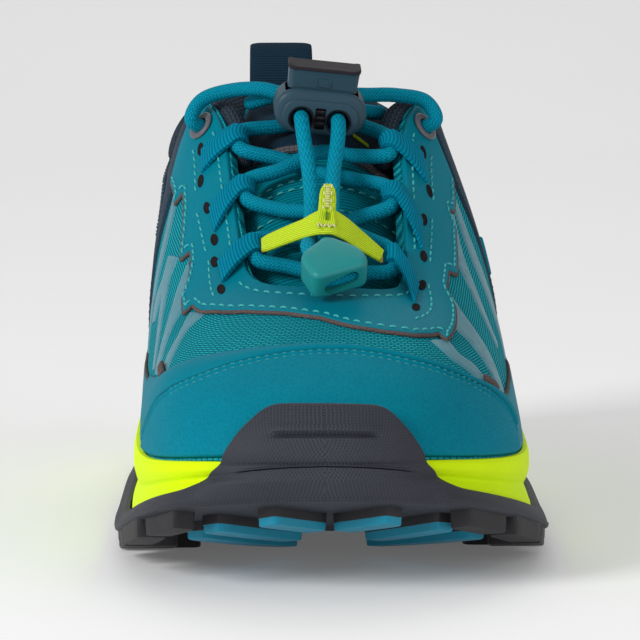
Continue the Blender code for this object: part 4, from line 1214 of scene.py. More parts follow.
@dataclass(frozen=True)
class Stitch:
    """Rows of sewn stitches: short arched capsules of thread laid end to end along a line."""

    length: float = 1.75 * MM
    gap: float = 0.70 * MM
    thick: float = 0.46 * MM

    def shape(self) -> Array:
        """One stitch: a circle carried along it, shrinking to both ends, which dip into the cloth.

        Returns:
            Its grid, with its length along the first axis.
        """
        at = np.linspace(-1, 1, 7)[:, None]
        turn = np.linspace(0, 2 * np.pi, 7)[None, :]
        radius = self.thick / 2 * np.sqrt(np.clip(1 - at**4, 0, 1))
        rise = self.thick * (0.30 - 0.55 * at**2)
        parts = (at * self.length / 2 + 0 * turn, radius * np.cos(turn), rise + radius * np.sin(turn))
        grid = np.stack(parts, axis=2)
        grid[:, -1] = grid[:, 0]
        return grid

    def row(self, skin: Skin, path: Array, out: Array) -> Skin:
        """Adds a row of stitches along a path.

        Args:
            skin: The skin it is added to.
            path: The line, at close spacing.
            out: The direction out of the cloth, one or one for each place.

        Returns:
            The skin.
        """
        run = spread(path)
        count = max(1, int(run[-1] / (self.length + self.gap)))
        at = (np.arange(count) + 0.5) * run[-1] / count
        lines = (path, np.gradient(path, axis=0), np.broadcast_to(out, path.shape))
        place, ahead, up = (read(at, run, rows) for rows in lines)
        ahead = unit(ahead)
        up = unit(up - ahead * np.sum(up * ahead, axis=1, keepdims=True))
        return skin.copies(self.shape(), place, np.stack([ahead, np.cross(up, ahead), up], axis=1))


STITCH = Stitch()
FINE_STITCH = Stitch(1.15 * MM, 0.55 * MM, 0.34 * MM)


# ===== Studio =====


@dataclass(frozen=True)
class Studio:
    """Camera, floor and soft light."""

    azimuth: float = -2.5
    elevation: float = 5.72
    distance: float = 0.772
    target: tuple[float, float, float] = (-0.00095, 0.0, 0.043)
    lens: float = 197.1
    floor_size: float = 6.0

    def build(self) -> None:
        """Sets the camera, the floor, the lamps and the pale surroundings."""
        self.camera()
        self.floor()
        self.lamp("key_lamp", (-1.05, -0.85, 0.62), 0.45, 14.5)
        self.lamp("fill_lamp", (0.95, -0.90, 0.45), 1.0, 4.2)
        self.lamp("back_lamp", (0.10, 1.20, 1.30), 1.2, 5.0)
        bpy.context.scene.view_settings.view_transform = "Standard"
        world = bpy.data.worlds.new("studio")
        world.use_nodes = True
        world.node_tree.nodes["Background"].inputs["Color"].default_value = (1.0, 1.0, 1.0, 1.0)
        world.node_tree.nodes["Background"].inputs["Strength"].default_value = 0.42
        bpy.context.scene.world = world

    def camera(self) -> None:
        """Puts the camera at the photograph's angle."""
        data = bpy.data.cameras.new("camera")
        data.lens, data.sensor_width = self.lens, 36.0
        camera = bpy.data.objects.new("camera", data)
        turn, rise = math.radians(self.azimuth), math.radians(self.elevation)
        back = Vector((math.sin(turn) * math.cos(rise), -math.cos(turn) * math.cos(rise), math.sin(rise)))
        camera.location = Vector(self.target) + back * self.distance
        camera.rotation_euler = (-back).to_track_quat("-Z", "Y").to_euler()
        bpy.context.scene.collection.objects.link(camera)
        bpy.context.scene.camera = camera

    def floor(self) -> None:
        """Lays the pale floor: a flat sheet that curves up far behind as a backdrop."""
        across = np.linspace(-0.5, 0.5, 9) * self.floor_size
        along = np.linspace(-0.5, 0.5, 33) * self.floor_size
        rise = np.clip(along - 1.2, 0, None) ** 2 * 0.5
        x, y = np.meshgrid(across, along, indexing="ij")
        z = np.broadcast_to(rise, x.shape)
        top = np.stack([x, y, z - 0.0002], axis=2)
        obj = Skin().shell(top, top - np.array([0, 0, 0.004])).build("studio_floor", FLOOR)

    def lamp(self, name: str, place: tuple[float, float, float], size: float, power: float) -> None:
        """Hangs a square soft lamp that faces the shoe.

        Args:
            name: The lamp's name.
            place: Where it hangs.
            size: Its side.
            power: Its power in watts.
        """
        data = bpy.data.lights.new(name, "AREA")
        data.size, data.energy = size, power
        lamp = bpy.data.objects.new(name, data)
        lamp.location = place
        aim = Vector(self.target) - Vector(place)
        lamp.rotation_euler = aim.to_track_quat("-Z", "Y").to_euler()
        bpy.context.scene.collection.objects.link(lamp)


# ===== Sole =====

# The midsole's side from its foot to its lip: share of its height and how far it stands out from the
# upper's foot in millimetres, in the open and behind the toe bumper
MIDSOLE_SIDE = (
    (0.00, 2.4, 1.0),
    (0.16, 2.3, 1.0),
    (0.38, 1.0, 1.0),
    (0.46, 0.6, 1.0),
    (0.53, 1.3, 1.0),
    (0.72, 2.0, 1.0),
    (0.94, 1.9, 1.0),
    (1.04, 1.4, 0.9),
    (1.05, 0.6, 0.5),
)

# The toe bumper's shoulder: distance from its middle in mm and its climb as a share
BUMPER_SHOULDER = (
    (0, 1), (9, 1), (11, 0.96), (14.7, 0.8), (17.6, 0.62),
    (19.6, 0.34), (21.4, 0.12), (23.5, 0.02), (25.5, 0),
)

# Edge lugs on both sides: middle and half length in knots, reach out and in from the foot line in mm
LUGS = (
    (1.95, 0.30, 5.0, 0.5),
    (2.65, 0.32, 5.9, 0.5),
    (3.35, 0.26, 5.4, 6.0),
    (4.05, 0.26, 5.4, 12.0),
    (4.75, 0.26, 5.4, 14.0),
    (7.10, 0.24, 5.4, 10.0),
    (7.75, 0.24, 5.4, 12.0),
    (8.40, 0.24, 5.4, 12.0),
    (9.05, 0.24, 5.2, 8.0),
    (9.65, 0.20, 4.6, 8.0),
)

# A lug from its root to its foot: size and height as shares
LUG_ROWS = (
    (0, 1), (1, 1), (0.99, 0.44), (0.975, 0.4), (0.97, 0.1), (0.95, 0.02), (0.9, 0), (0, 0),
)

# The insole's section from its middle round the rim: inset and height from the foot line in millimetres
INSOLE_ROWS = (
    (5.6, 1.5), (4.4, 1.6), (3.2, 1.7), (2.3, 1.55), (1.9, 1.1),
    (2.1, 0.5), (3.6, 0.3), (4.2, 0.2), (5.9, -2.5),
)

# Chevron arms: the two ends of each, across and along from the toe in millimetres
CHEVRONS = {
    "chevron_1_inner": (-5.2, 19.5, -16.0, 9.5),
    "chevron_1_outer": (-1.2, 19.5, 9.0, 9.5),
    "chevron_2_inner": (-9.2, 36.0, -26.5, 18.0),
    "chevron_2_outer": (6.0, 36.0, 19.5, 18.0),
    "chevron_3_inner": (-9.5, 54.0, -29.5, 28.5),
    "chevron_3_outer": (7.0, 54.0, 27.0, 32.0),
}


@dataclass(frozen=True)
class Sole:
    """Midsole, outsole with its toe bumper and lugs, and the insole."""

    columns: int = 360
    plate: float = 1.6 * MM
    tread_out: float = 6.0 * MM
    tread_out_at_toe: float = 2.6 * MM
    lip_climb: float = 0.05
    bumper_climb: float = 1.72
    bumper_centre: float = -5.0 * MM
    climb_on_upper: float = 0.30
    climb_base: float = 2.04 * MM
    bumper_thick: float = 2.3 * MM
    lip_thick: float = 1.5 * MM
    lip_edge: float = 0.9 * MM
    chevron_width: float = 5.2 * MM
    foam_gap: float = 0.45 * MM
    lug_sharp: float = 40.0

    def build(self) -> None:
        """Makes every piece of the sole."""
        self.midsole()
        self.outsole()
        self.chevrons()
        self.insole()

    def bumper(self, knots: Array) -> Array:
        """1 at the middle of the toe bumper, falling to 0 where it meets the flange: the table of its
        shoulders is read by the distance from its middle.

        Args:
            knots: Places round the shoe.

        Returns:
            The bumper's share at each.
        """
        x, y = LAST.feather(knots)[:, :2].T
        off, rise = np.array(BUMPER_SHOULDER).T
        across = soft_table(np.abs(x - self.bumper_centre) / MM, off, rise, 4.0)
        return np.where(LAST.share(y) < 0.5, across, 0.0)

    def side(self, knots: Array, share: Array | float, extra: Array | float = 0.0) -> Array:
        """A loop on the midsole's side at shares of its height, recessed behind the bumper.

        Args:
            knots: Places round the shoe.
            share: Shares of the height, past 1 above the foot line.
            extra: How much further out the loop lies.

        Returns:
            The loop.
        """
        foot, away, under = LAST.feather(knots), LAST.away(knots), self.bumper(knots)
        steps, open_out, hidden_out = np.array(MIDSOLE_SIDE).T
        share = np.broadcast_to(np.asarray(share, float), knots.shape)
        window = 0.10 * ease((1.0 - share) / 0.15)
        shift = np.linspace(-0.5, 0.5, 7)[:, None]
        out = np.interp(share + shift * window, steps, open_out).mean(axis=0)
        hidden = np.interp(share, steps, hidden_out)
        out = (out * (1 - under) + hidden * under) * MM + extra
        height = np.where(share > 1, 1 + (share - 1) * (1 - under), share)
        loop = foot + out[:, None] * away
        low = LAST.joint(loop[:, 1])
        loop[:, 2] = low + (foot[:, 2] - low) * height
        return loop

    def inset(self, knots: Array, inset: Array | float, up: float, level: Level | None = None) -> Array:
        """A loop inside the foot line.

        Args:
            knots: Places round the shoe.
            inset: How far inside it lies.
            up: How far it lies above its level.
            level: The level by the place along the shoe; the foot line's own where none is given.

        Returns:
            The loop's places.
        """
        loop = LAST.feather(knots) - np.reshape(inset, (-1, 1)) * LAST.away(knots)
        loop[:, 2] = (loop[:, 2] if level is None else level(loop[:, 1])) + up
        return loop

    def climb(self, knots: Array, heights: Array, out: Array) -> Array:
        """A loop over the midsole's side, 0 to 1, and up the upper's foot, 1 to 2.

        Args:
            knots: Places round the shoe.
            heights: How far up each place lies, 0 to 2.
            out: How far out each stands.

        Returns:
            The loop.
        """
        on_midsole = self.side(knots, np.minimum(heights, 1.0), out)
        shares = (np.maximum(heights, 1.0) - 1.0) * self.climb_on_upper
        on_upper = LAST.wall(knots, shares, self.climb_base + out)
        near = ease((heights - 0.90) / 0.20)[:, None]
        return on_midsole * (1 - near) + on_upper * near

    def lanes(self, loop: Array) -> Array:
        """Fills a loop with straight lanes from its outer to its inner side: places by lanes.

        Args:
            loop: The closed loop.

        Returns:
            The grid.
        """
        half = (len(loop) - 1) // 2
        near, far = loop[: half + 1], loop[::-1][: half + 1]
        share = np.linspace(0, 1, 41)[None, :, None]
        return near[:, None] * (1 - share) + far[:, None] * share

    def filled(self, loops: list[Array]) -> Skin:
        """A skin of loops one after another, the first and the last filled with lanes."""
        return Skin().grid(np.stack(loops, axis=1)).grid(self.lanes(loops[0])).grid(self.lanes(loops[-1]))

    def midsole(self) -> None:
        """The foam midsole: its side is the side table carried round the foot line."""
        knots = LAST.round(self.columns)
        rim = ((4.6, -3.0), (3.4, -0.3), (0.0, -0.3))
        loops = [self.inset(knots, inset * MM, up * MM) for inset, up in rim]
        shares = np.concatenate([np.linspace(1.05, 1.0, 5), np.linspace(0.985, 0, 44)])
        loops += [self.side(knots, share) for share in shares]
        loops.append(self.inset(knots, 0.2 * MM, 0.0, LAST.joint))
        loops.append(self.inset(knots, 0.8 * MM, self.plate + self.foam_gap, LAST.tread))
        self.filled(loops).piece("foam_midsole", Slot.FOAM, FOAM, nodes=["midsole"])

    def outsole(self) -> None:
        """The rubber outsole: tray, flange and lip, the lip climbing the toe as a ridged bumper."""
        knots = LAST.round(self.columns * 2)
        under = self.bumper(knots)
        top = self.lip_climb + (self.bumper_climb - self.lip_climb) * under
        thick = self.lip_thick + (self.bumper_thick - self.lip_thick) * under
        edge = self.lip_edge + 0.3 * MM * under
        gap = self.foam_gap + 0.5 * MM * under + 0.9 * MM * under * (1 - under)
        off = np.abs(LAST.feather(knots)[:, 0] - self.bumper_centre)
        narrow, broad = ease((10.5 * MM - off) / (3 * MM)), ease((16.5 * MM - off) / (4 * MM))
        corner = self.side(knots, 0.0, self.foam_gap)
        corner[:, 2] -= self.foam_gap
        loops = [
            self.inset(knots, 0.4 * MM, self.plate, LAST.tread),
            self.inset(knots, -0.2 * MM, -self.foam_gap, LAST.joint),
            corner,
        ]
        loops += [self.climb(knots, top * share, gap) for share in (0.25, 0.5, 0.75, 1.0)]
        for share in np.concatenate([[1.0, 0.995, 0.985, 0.97], np.linspace(0.955, 0, 80)]):
            out = gap + edge + (thick - edge) * (1 - share)
            out = out - edge * (1 - np.sqrt(np.clip(1 - (np.clip(share - 0.96, 0, 1) / 0.04) ** 2, 0, 1)))
            climb = top * share
            arch = climb + 0.25 * (off / (16 * MM)) ** 2
            ridge = narrow * groove(climb, 1.29, 0.03) + broad * groove(arch, 0.80, 0.03)
            swell = narrow * groove(climb, 1.36, 0.07) + broad * groove(arch, 0.87, 0.07)
            loops.append(self.climb(knots, climb, out + (0.35 * swell - 0.75 * ridge) * MM * under))
        reach = self.tread_out + (self.tread_out_at_toe - self.tread_out) * under
        for inset, up in ((-0.1, 1.2), (0.1, 0.5), (1.0, 0.0)):
            loops.append(self.inset(knots, -reach + inset * MM, up * MM, LAST.tread))
        skin = self.filled(loops)
        self.lugs(skin)
        finishes = (RUBBER, WALL_RUBBER)
        skin.piece("rubber_outsole", Slot.RUBBER, *finishes, nodes=["outsole"], sharp=self.lug_sharp)

    def block(self, corners: Array, sink: float) -> Array:
        """A lug: its plan, a four-sided ring with rounded corners, is carried from the root in the
        tread to a slightly smaller foot on the ground line, with a softened rim.

        Args:
            corners: The four plan corners in order.
            sink: How far the root goes into the tread.

        Returns:
            The lug's grid, closed at root and foot; its third row lies a little below halfway up.
        """
        middle = corners.mean(0)
        follow = np.concatenate([corners, corners[:1]])
        side = np.linspace(0, 1, 9)[:-1, None]
        ring = np.concatenate([a * (1 - side) + b * side for a, b in zip(follow[:-1], follow[1:])])
        soft = (np.roll(ring, 1, 0) + 2 * ring + np.roll(ring, -1, 0)) / 4
        ring = np.vstack([soft, soft[:1]])
        rows = []
        for shrink, rise in LUG_ROWS:
            flat = middle + (ring - middle) * shrink
            foot, root = LAST.ground(flat[:, 1]), LAST.tread(flat[:, 1]) + sink
            rows.append(np.column_stack([flat, foot + (root - foot) * rise]))
        return np.stack(rows)

    def lugs(self, skin: Skin) -> None:
        """Adds the edge lugs of both sides to the outsole's skin.

        Args:
            skin: The skin.
        """
        for knot, half, out, inward in LUGS:
            for sign in (1, -1):
                ends = sign * np.array([knot - half, knot + half])
                line, away = LAST.feather(ends)[:, :2], LAST.away(ends)[:, :2]
                outer, inner = line + out * MM * away, line - inward * MM * away
                skin.grid(self.block(np.array([outer[0], outer[1], inner[1], inner[0]]), 0.7 * MM), slot=1)

    def chevrons(self) -> None:
        """The coloured chevron lugs under the toe, one arm each."""
        for name, (in_x, in_along, out_x, out_along) in CHEVRONS.items():
            ends = millimetres([(in_x, in_along, 0), (out_x, out_along, 0)])[:, :2]
            ahead = ends[1] - ends[0]
            side = unit(np.array([-ahead[1], ahead[0]])) * self.chevron_width / 2
            corners = np.array([ends[0] - side, ends[1] - side, ends[1] + side, ends[0] + side])
            grid = self.block(corners, 0.1 * MM)
            skin = Skin().grid(grid[2:]).grid(grid[:3], slot=1)
            skin.piece(name + "_lug", Slot.LUG, LUG_RUBBER, WALL_RUBBER, nodes=[name], sharp=self.lug_sharp)

    def insole(self) -> None:
        """The insole: a thin cushion whose rim rolls over into the midsole's recess."""
        knots = LAST.round(self.columns // 2)
        loops = [self.inset(knots, inset * MM, up * MM) for inset, up in INSOLE_ROWS]
        obj = self.filled(loops).piece("insole_sheet", Slot.KNIT, KNIT, nodes=["insole"])


# ===== Upper =====

SIDES = ((1, "outer"), (-1, "inner"))

# The toe cap's upper edge: knot and share of the wall, inner side to outer side
TOE_CAP_EDGE = (
    (-3.45, 0.33), (-3, 0.365), (-2.65, 0.398), (-2.25, 0.45), (-1.97, 0.49), (-1.55, 0.535),
    (-1.1, 0.568), (-0.7, 0.593), (-0.4, 0.602), (-0.17, 0.606), (0.15, 0.602), (0.45, 0.582),
    (0.83, 0.547), (1.22, 0.512), (1.65, 0.47), (2.15, 0.405), (2.5, 0.36), (2.8, 0.31), (3.05, 0.25),
)

# The seam where the grained skin of the toe cap meets the smooth band along its edge
TOE_CAP_SEAM = (
    (-3.45, 0.08), (-3.2, 0.15), (-2.92, 0.22), (-2.58, 0.295), (-2.15, 0.355), (-1.8, 0.395),
    (-1.52, 0.43), (-1.15, 0.485), (-0.82, 0.525), (-0.5, 0.555), (-0.15, 0.57), (0.2, 0.572),
    (0.58, 0.55), (0.95, 0.515), (1.38, 0.48), (1.97, 0.42), (2.43, 0.345), (2.78, 0.27), (3, 0.18),
    (3.05, 0.1),
)

# The eyestay's stepped lower edge, inner side to outer side
EYESTAY_EDGE = (
    (-5.72, 0.985), (-5.66, 0.84), (-5.45, 0.72), (-5, 0.712), (-4.88, 0.7), (-4.74, 0.758),
    (-4.4, 0.748), (-4.1, 0.722), (-3.8, 0.69), (-3.64, 0.755), (-3.4, 0.752), (-3.22, 0.725),
    (-3.08, 0.675), (-2.72, 0.672), (-2.58, 0.735), (-2.22, 0.76), (-1.9, 0.8), (-1.38, 0.83),
    (-0.8, 0.825), (-0.25, 0.8), (0, 0.77), (0.25, 0.742), (0.65, 0.708), (1.08, 0.685), (1.42, 0.69),
    (1.56, 0.7), (1.68, 0.655), (1.97, 0.685), (2.62, 0.735), (2.78, 0.79), (3.23, 0.775), (3.4, 0.722),
    (3.75, 0.716), (4.28, 0.715), (4.42, 0.757), (4.58, 0.722), (4.8, 0.722), (5.15, 0.745), (5.3, 0.83),
    (5.42, 0.905), (5.55, 0.985),
)

# The side guards: side, first knot and the felt end of the lowest stripe
SIDE_GUARDS = {
    "side_guard_outer": (1, 2.98, ((2.4, 0.405), (2.66, 0.35))),
    "side_guard_inner": (-1, 3.38, ((-2.8, 0.43), (-2.58, 0.4))),
}
GUARD_EDGE = ((2.98, 0.29), (3.4, 0.3), (4.2, 0.255), (5.2, 0.185), (6.7, 0.15))

# Print stripes on the vamp's sides: the two long edges of each, as knots and shares of the wall
STRIPES = (
    (
        ((-4.5, 0.59), (-4.5, 0.52), (-4.66, 0.44), (-4.6, 0.37)),
        ((-4, 0.665), (-4.05, 0.56), (-4.22, 0.495), (-4.34, 0.41)),
    ),
    (
        ((-4.25, 0.515), (-4.07, 0.46), (-3.84, 0.405), (-3.62, 0.335)),
        ((-4.02, 0.59), (-3.88, 0.53), (-3.66, 0.45), (-3.44, 0.355)),
    ),
    (
        ((-3.62, 0.73), (-3.56, 0.62), (-3.44, 0.51), (-3.36, 0.345)),
        ((-3.05, 0.74), (-2.92, 0.67), (-3.06, 0.55), (-3.12, 0.365)),
    ),
    (
        ((-2.62, 0.7), (-2.6, 0.575), (-2.78, 0.48), (-2.86, 0.385)),
        ((-2.1, 0.775), (-2.3, 0.645), (-2.4, 0.54), (-2.58, 0.405)),
    ),
    (
        ((4.5, 0.745), (3.85, 0.725), (3.66, 0.64), (3.6, 0.54), (3.7, 0.4)),
        ((4.62, 0.715), (4.14, 0.645), (3.98, 0.57), (3.86, 0.49), (3.88, 0.4)),
    ),
    (
        ((2.66, 0.8), (2.25, 0.705), (2.46, 0.58), (2.68, 0.455), (2.84, 0.315)),
        ((2.9, 0.8), (2.85, 0.68), (2.93, 0.58), (3.06, 0.455), (3.04, 0.27)),
    ),
    (
        ((1.35, 0.665), (1.68, 0.55), (2.03, 0.475), (2.38, 0.375)),
        ((1.78, 0.665), (1.97, 0.57), (2.3, 0.49), (2.62, 0.345)),
    ),
    (
        ((-5.2, 0.7), (-5.05, 0.6), (-5.05, 0.45), (-5.15, 0.24)),
        ((-4.9, 0.7), (-4.75, 0.6), (-4.78, 0.45), (-4.95, 0.24)),
    ),
    (
        ((5.05, 0.735), (4.85, 0.6), (4.88, 0.45), (4.98, 0.24)),
        ((4.75, 0.72), (4.45, 0.61), (4.5, 0.45), (4.72, 0.24)),
    ),
)

# The navy quarter panel's slanted front edge on the inner side, from the opening to the sole
QUARTER_EDGE = ((-5.6, 0.96), (-5.24, 0.72), (-5.3, 0.56), (-5.47, 0.39), (-5.72, 0.24), (-5.95, 0.06))

# Short rows of stitches beside the webbing loops
LOOP_STITCHES = (
    ((-5.08, 0.862), (-4.32, 0.828)), ((-4, 0.822), (-3.22, 0.842)), ((-3.05, 0.852), (-2.17, 0.84)),
    ((4.9, 0.868), (4.1, 0.85)), ((3.78, 0.862), (2.93, 0.882)), ((2.43, 0.893), (1.8, 0.83), (1.18, 0.778)),
)

# The row of stitches at the foot of the throat
THROAT_STITCHES = ((-2.1, 0.945), (-1.2, 0.94), (-0.5, 0.935), (0.5, 0.935), (1.2, 0.94), (1.9, 0.945))

# The collar pad's section: millimetres down the wall from the opening and inwards from its face
COLLAR_PAD = (
    (-0.5, 0.0), (-3.2, -0.2), (-5.6, 2.4), (-4.4, 6.0), (1.5, 8.2),
    (12.0, 6.6), (19.0, 3.4), (19.0, 3.1), (9.0, 3.1), (-0.5, 3.1),
)

# The tongue: along, height, half width, edge drop and thickness in millimetres, slope in degrees
TONGUE = (
    (50, 45.8, 14, 4.0, 3.0, 25),
    (61, 50.2, 16, 5.0, 3.6, 30),
    (72, 56.0, 18, 6.0, 4.5, 35),
    (88, 66.7, 19, 8.0, 5.0, 35),
    (104, 77.6, 19, 8.5, 5.0, 35),
    (116, 86.0, 18, 8.0, 5.0, 35),
    (124, 91.6, 17, 7.0, 5.0, 34),
    (130, 95.4, 15, 6.0, 4.0, 28),
)

# The pull loop: along from the toe and height in millimetres
PULL_LOOP = ((220.6, 80), (220, 88), (219.4, 95), (216, 100.6), (209, 100.4), (205.2, 95), (204.6, 86))


@dataclass(frozen=True)
class Upper:
    """The cloth and film pieces above the sole."""

    wall: float = 2.2 * MM
    overlay: float = 0.95 * MM
    pull_loop_x: float = -6.3
    pull_loop_width: float = 15 * MM
    tongue_centre: float = -1.5 * MM
    collar_start: float = 6.1
    foot_share: float = 0.02
    hem_slope: float = 0.036
    stitch_lift: float = 1.02 * MM
    heel_lift: float = 1.05 * MM

    def build(self) -> None:
        """Makes every piece of the upper."""
        self.shell()
        self.toe_cap()
        self.side_guards()
        self.stripes()
        self.eyestay()
        self.quarter_panels()
        self.heel_panel()
        self.collar()
        self.throat_binding()
        self.tongue()
        self.tongue_top()
        self.pull_loop()
        self.side_tab()
        self.stitching()

    def shell(self) -> None:
        """The mesh upper: the wall's face and its lining, closed at sole and opening."""
        knots = LAST.round(300)[:, None] - LAST.half_round
        shares = np.linspace(0, 1, 61)[None, :]
        outer = LAST.wall(knots, shares, 0.02 * MM)
        inner = LAST.wall(knots, shares, -self.wall)
        inner[:, 0, 2] = outer[:, 0, 2]
        skin = Skin().shell(outer, inner, (0, 1))
        skin.piece("mesh_upper", Slot.MESH, MESH, LINING, nodes=["upper"])

    def film(self, knots: Array, shares: Array, rise: Array, sink: float) -> Skin:
        """A skin on the wall: its outer face rises from the wall, its inner face is sunk in it."""
        return Skin().shell(LAST.wall(knots, shares, rise), LAST.wall(knots, shares, -sink))

    def laid(
        self,
        knots: Array,
        low: Array | float,
        high: Array | float,
        thick: float,
        rows: int,
        profile: Callable[[Array, Array], Array] | None = None,
        edge: float = 0.7 * MM,
    ) -> Skin:
        """A film on the wall between two lines: its thickness is a quarter round near its edges.

        Args:
            knots: Places round the shoe, in one row.
            low: The lower line's shares at those knots.
            high: The upper line's shares.
            thick: How far it stands out.
            rows: How many places go up the wall.
            profile: A further height out, from the distances to the lower and upper line.
            edge: How wide the rounded edge is.

        Returns:
            Its skin.
        """
        share = 0.5 - 0.5 * np.cos(np.pi * np.linspace(0, 1, rows))
        low, high = (np.broadcast_to(line, knots.shape)[:, None] for line in (low, high))
        shares = low * (1 - share) + high * share
        bare = LAST.wall(knots[:, None], shares)
        run = np.linalg.norm(np.diff(bare, axis=1), axis=2)
        from_low = np.concatenate([np.zeros((len(knots), 1)), np.cumsum(run, axis=1)], axis=1)
        from_high = from_low[:, -1:] - from_low
        ends = spread(bare[:, rows // 2])
        from_end = np.minimum(ends, ends[-1] - ends)[:, None]
        out = thick * quarter_round(np.minimum(np.minimum(from_low, from_high), from_end) / edge)
        if profile is not None:
            out = out + profile(from_low, from_high)
        return self.film(knots[:, None], shares, out + 0.05 * MM, 0.3 * MM)

    def toe_cap(self) -> None:
        """The grained toe cap up to its seam, and the smooth band that rolls along its upper edge."""
        knots = np.linspace(-3.45, 3.05, 280)
        high, seam = (soft_table(knots, *np.array(rows).T, 0.30) for rows in (TOE_CAP_EDGE, TOE_CAP_SEAM))
        seam = np.minimum(seam, high - 0.02)

        def dip(from_low: Array, from_high: Array) -> Array:
            """A narrow dip along the second seam."""
            return -0.38 * MM * groove(from_high, 1.55 * MM, 0.6 * MM)

        def roll(from_low: Array, from_high: Array) -> Array:
            """A round roll over the band's width."""
            return 0.65 * MM * groove(from_low / (from_low + from_high), 0.45, 0.55)

        skin = self.laid(knots, self.foot_share, seam, 1.15 * MM, 90, dip)
        skin.piece("toe_cap_skin", Slot.SUEDE, SUEDE, nodes=["toe_cap"])
        skin = self.laid(knots, seam, high, 1.0 * MM, 26, roll, edge=0.45 * MM)
        skin.piece("toe_cap_band", Slot.SUEDE, FILM)

    def side_guards(self) -> None:
        """The smooth film along the sole on both sides, from the toe cap to the heel panel, with a felt
        edge, and the felt ends of the lowest stripes."""
        for name, (side, start, corner) in SIDE_GUARDS.items():
            knots = np.linspace(start, 6.7, 120) * side
            high = np.interp(np.abs(knots), *np.array(GUARD_EDGE).T)
            self.laid(knots, self.foot_share, high, 0.75 * MM, 24).piece(name, Slot.SUEDE, FILM)
            path, _ = LAST.line(np.column_stack([knots, high + 0.002]), 0.35 * MM)
            skin = tube_skin(Skin(), path, 0.42 * MM, 9)
            path, out = LAST.line(corner, 0.9 * MM)
            across = np.cross(unit(path[-1] - path[0]), out[0])
            band_skin(skin, path, across, np.full(len(path), 2.0 * MM), 0.9 * MM, 9)
            skin.piece(name + "_felt", Slot.SUEDE, FELT)

    def stripes(self) -> None:
        """The print stripes: thin films between two lines on the wall."""
        share = np.linspace(0, 1, 9)[None, :, None]
        rise = 0.28 * MM * np.sqrt(np.clip(1 - np.abs(2 * share[..., 0] - 1) ** 8, 0, 1)) + 0.03 * MM
        for number, edges in enumerate(STRIPES, 1):
            first, second = (evenly(route(edge, 16), 0.012) for edge in edges)
            first, second = (
                read(np.linspace(0, len(line) - 1, 60), np.arange(len(line)), line)[:, None]
                for line in (first, second)
            )
            flat = first * (1 - share) + second * share
            skin = self.film(flat[..., 0], flat[..., 1], rise, 0.2 * MM)
            skin.piece(f"print_stripe_{number}", Slot.SUEDE, STRIPE)

    def eyestay(self) -> None:
        """The film round the throat with its stepped edge, and the felt that shows along that edge."""
        knots = np.linspace(-5.72, 5.55, 520)
        low = soft_table(knots, *np.array(EYESTAY_EDGE).T, 0.07)
        skin = self.laid(knots, low, 0.992, self.overlay, 30, edge=0.4 * MM)
        skin.piece("eyestay_film", Slot.SUEDE, FILM, nodes=["eyestay"])
        path, _ = LAST.line(np.column_stack([knots, low]), 0.42 * MM, -0.12 * MM)
        tube_skin(Skin(), path, 0.44 * MM, 9).piece("eyestay_felt_edge", Slot.SUEDE, FELT)

    def quarter_panels(self) -> None:
        """The navy quarter panels on both sides: thin films from a slanted front edge to the heel panel."""
        front = evenly(route(QUARTER_EDGE, 16), 0.02)
        share = np.linspace(0, 1, 30)[None, :]
        knots = np.abs(front[:, :1]) * (1 - share) + 7.2 * share
        rise = 0.55 * MM * quarter_round(np.minimum(share, 1 - share) * 20) + 0.03 * MM
        for side, name in SIDES:
            skin = self.film(side * knots, front[:, 1:], rise, 0.3 * MM)
            skin.piece(f"quarter_panel_{name}", Slot.PANEL, PANEL)

    def heel_edge(self, knots: Array, middle: float) -> Array:
        """A line round the heel at a share of the wall, falling towards the panel's front edges."""
        off = np.abs(knots - LAST.half_round) / 3.6
        return middle - 0.30 * ease((off - 0.70) / 0.30)

    def heel_panel(self) -> None:
        """The panel round the heel, its front edges slanting forward to the sole, and the collar band."""
        knots = np.linspace(6.4, 13.6, 200)
        skin = self.laid(knots, 0.03, self.heel_edge(knots, 0.93), self.overlay, 40)
        skin.piece("heel_panel_skin", Slot.PANEL, PANEL, nodes=["heel_panel"])
        skin = self.laid(np.linspace(5.45, 14.55, 160), 0.60, 0.99, 0.3 * MM, 24)
        skin.piece("collar_band", Slot.PANEL, LINING)

    def collar(self) -> None:
        """The padded collar: its closed section, rounded, is carried round the opening and shrinks
        towards its two front ends."""
        knots = np.linspace(self.collar_start, 20 - self.collar_start, 220)
        section = closed_spline(np.array(COLLAR_PAD), np.linspace(0, len(COLLAR_PAD), 61))
        height = np.linalg.norm(LAST.edge(knots) - LAST.feather(knots), axis=1)
        from_end = np.minimum(knots - knots[0], knots[-1] - knots)
        full = 0.25 + 0.75 * ease(from_end / 1.4)
        rise = unit(LAST.wall(knots, 1.0) - LAST.wall(knots, 0.97))
        down, inward = section[:, 0] * MM, section[:, 1] * MM
        shares = np.minimum(1 - down * full[:, None] / height[:, None], 1.0)
        deep = self.wall + 0.3 * MM
        bulge = np.where(inward > deep, deep + (inward - deep) * full[:, None], inward)
        lip = 0.5 * MM
        over = np.where(down < -lip, lip + (-down - lip) * full[:, None], np.clip(-down, 0, None))
        points = LAST.wall(knots[:, None], shares, -bulge) + rise[:, None] * over[..., None]
        points[:, -1] = points[:, 0]
        middle = points.mean(axis=1, keepdims=True)
        caps = [middle + (points - middle) * size for size in (0.0, 0.55, 0.85)]
        points = np.concatenate([[c[0] for c in caps], points, [c[-1] for c in caps[::-1]]])
        obj = Skin().grid(points).piece("collar_padding", Slot.KNIT, KNIT, nodes=["collar_pad"])

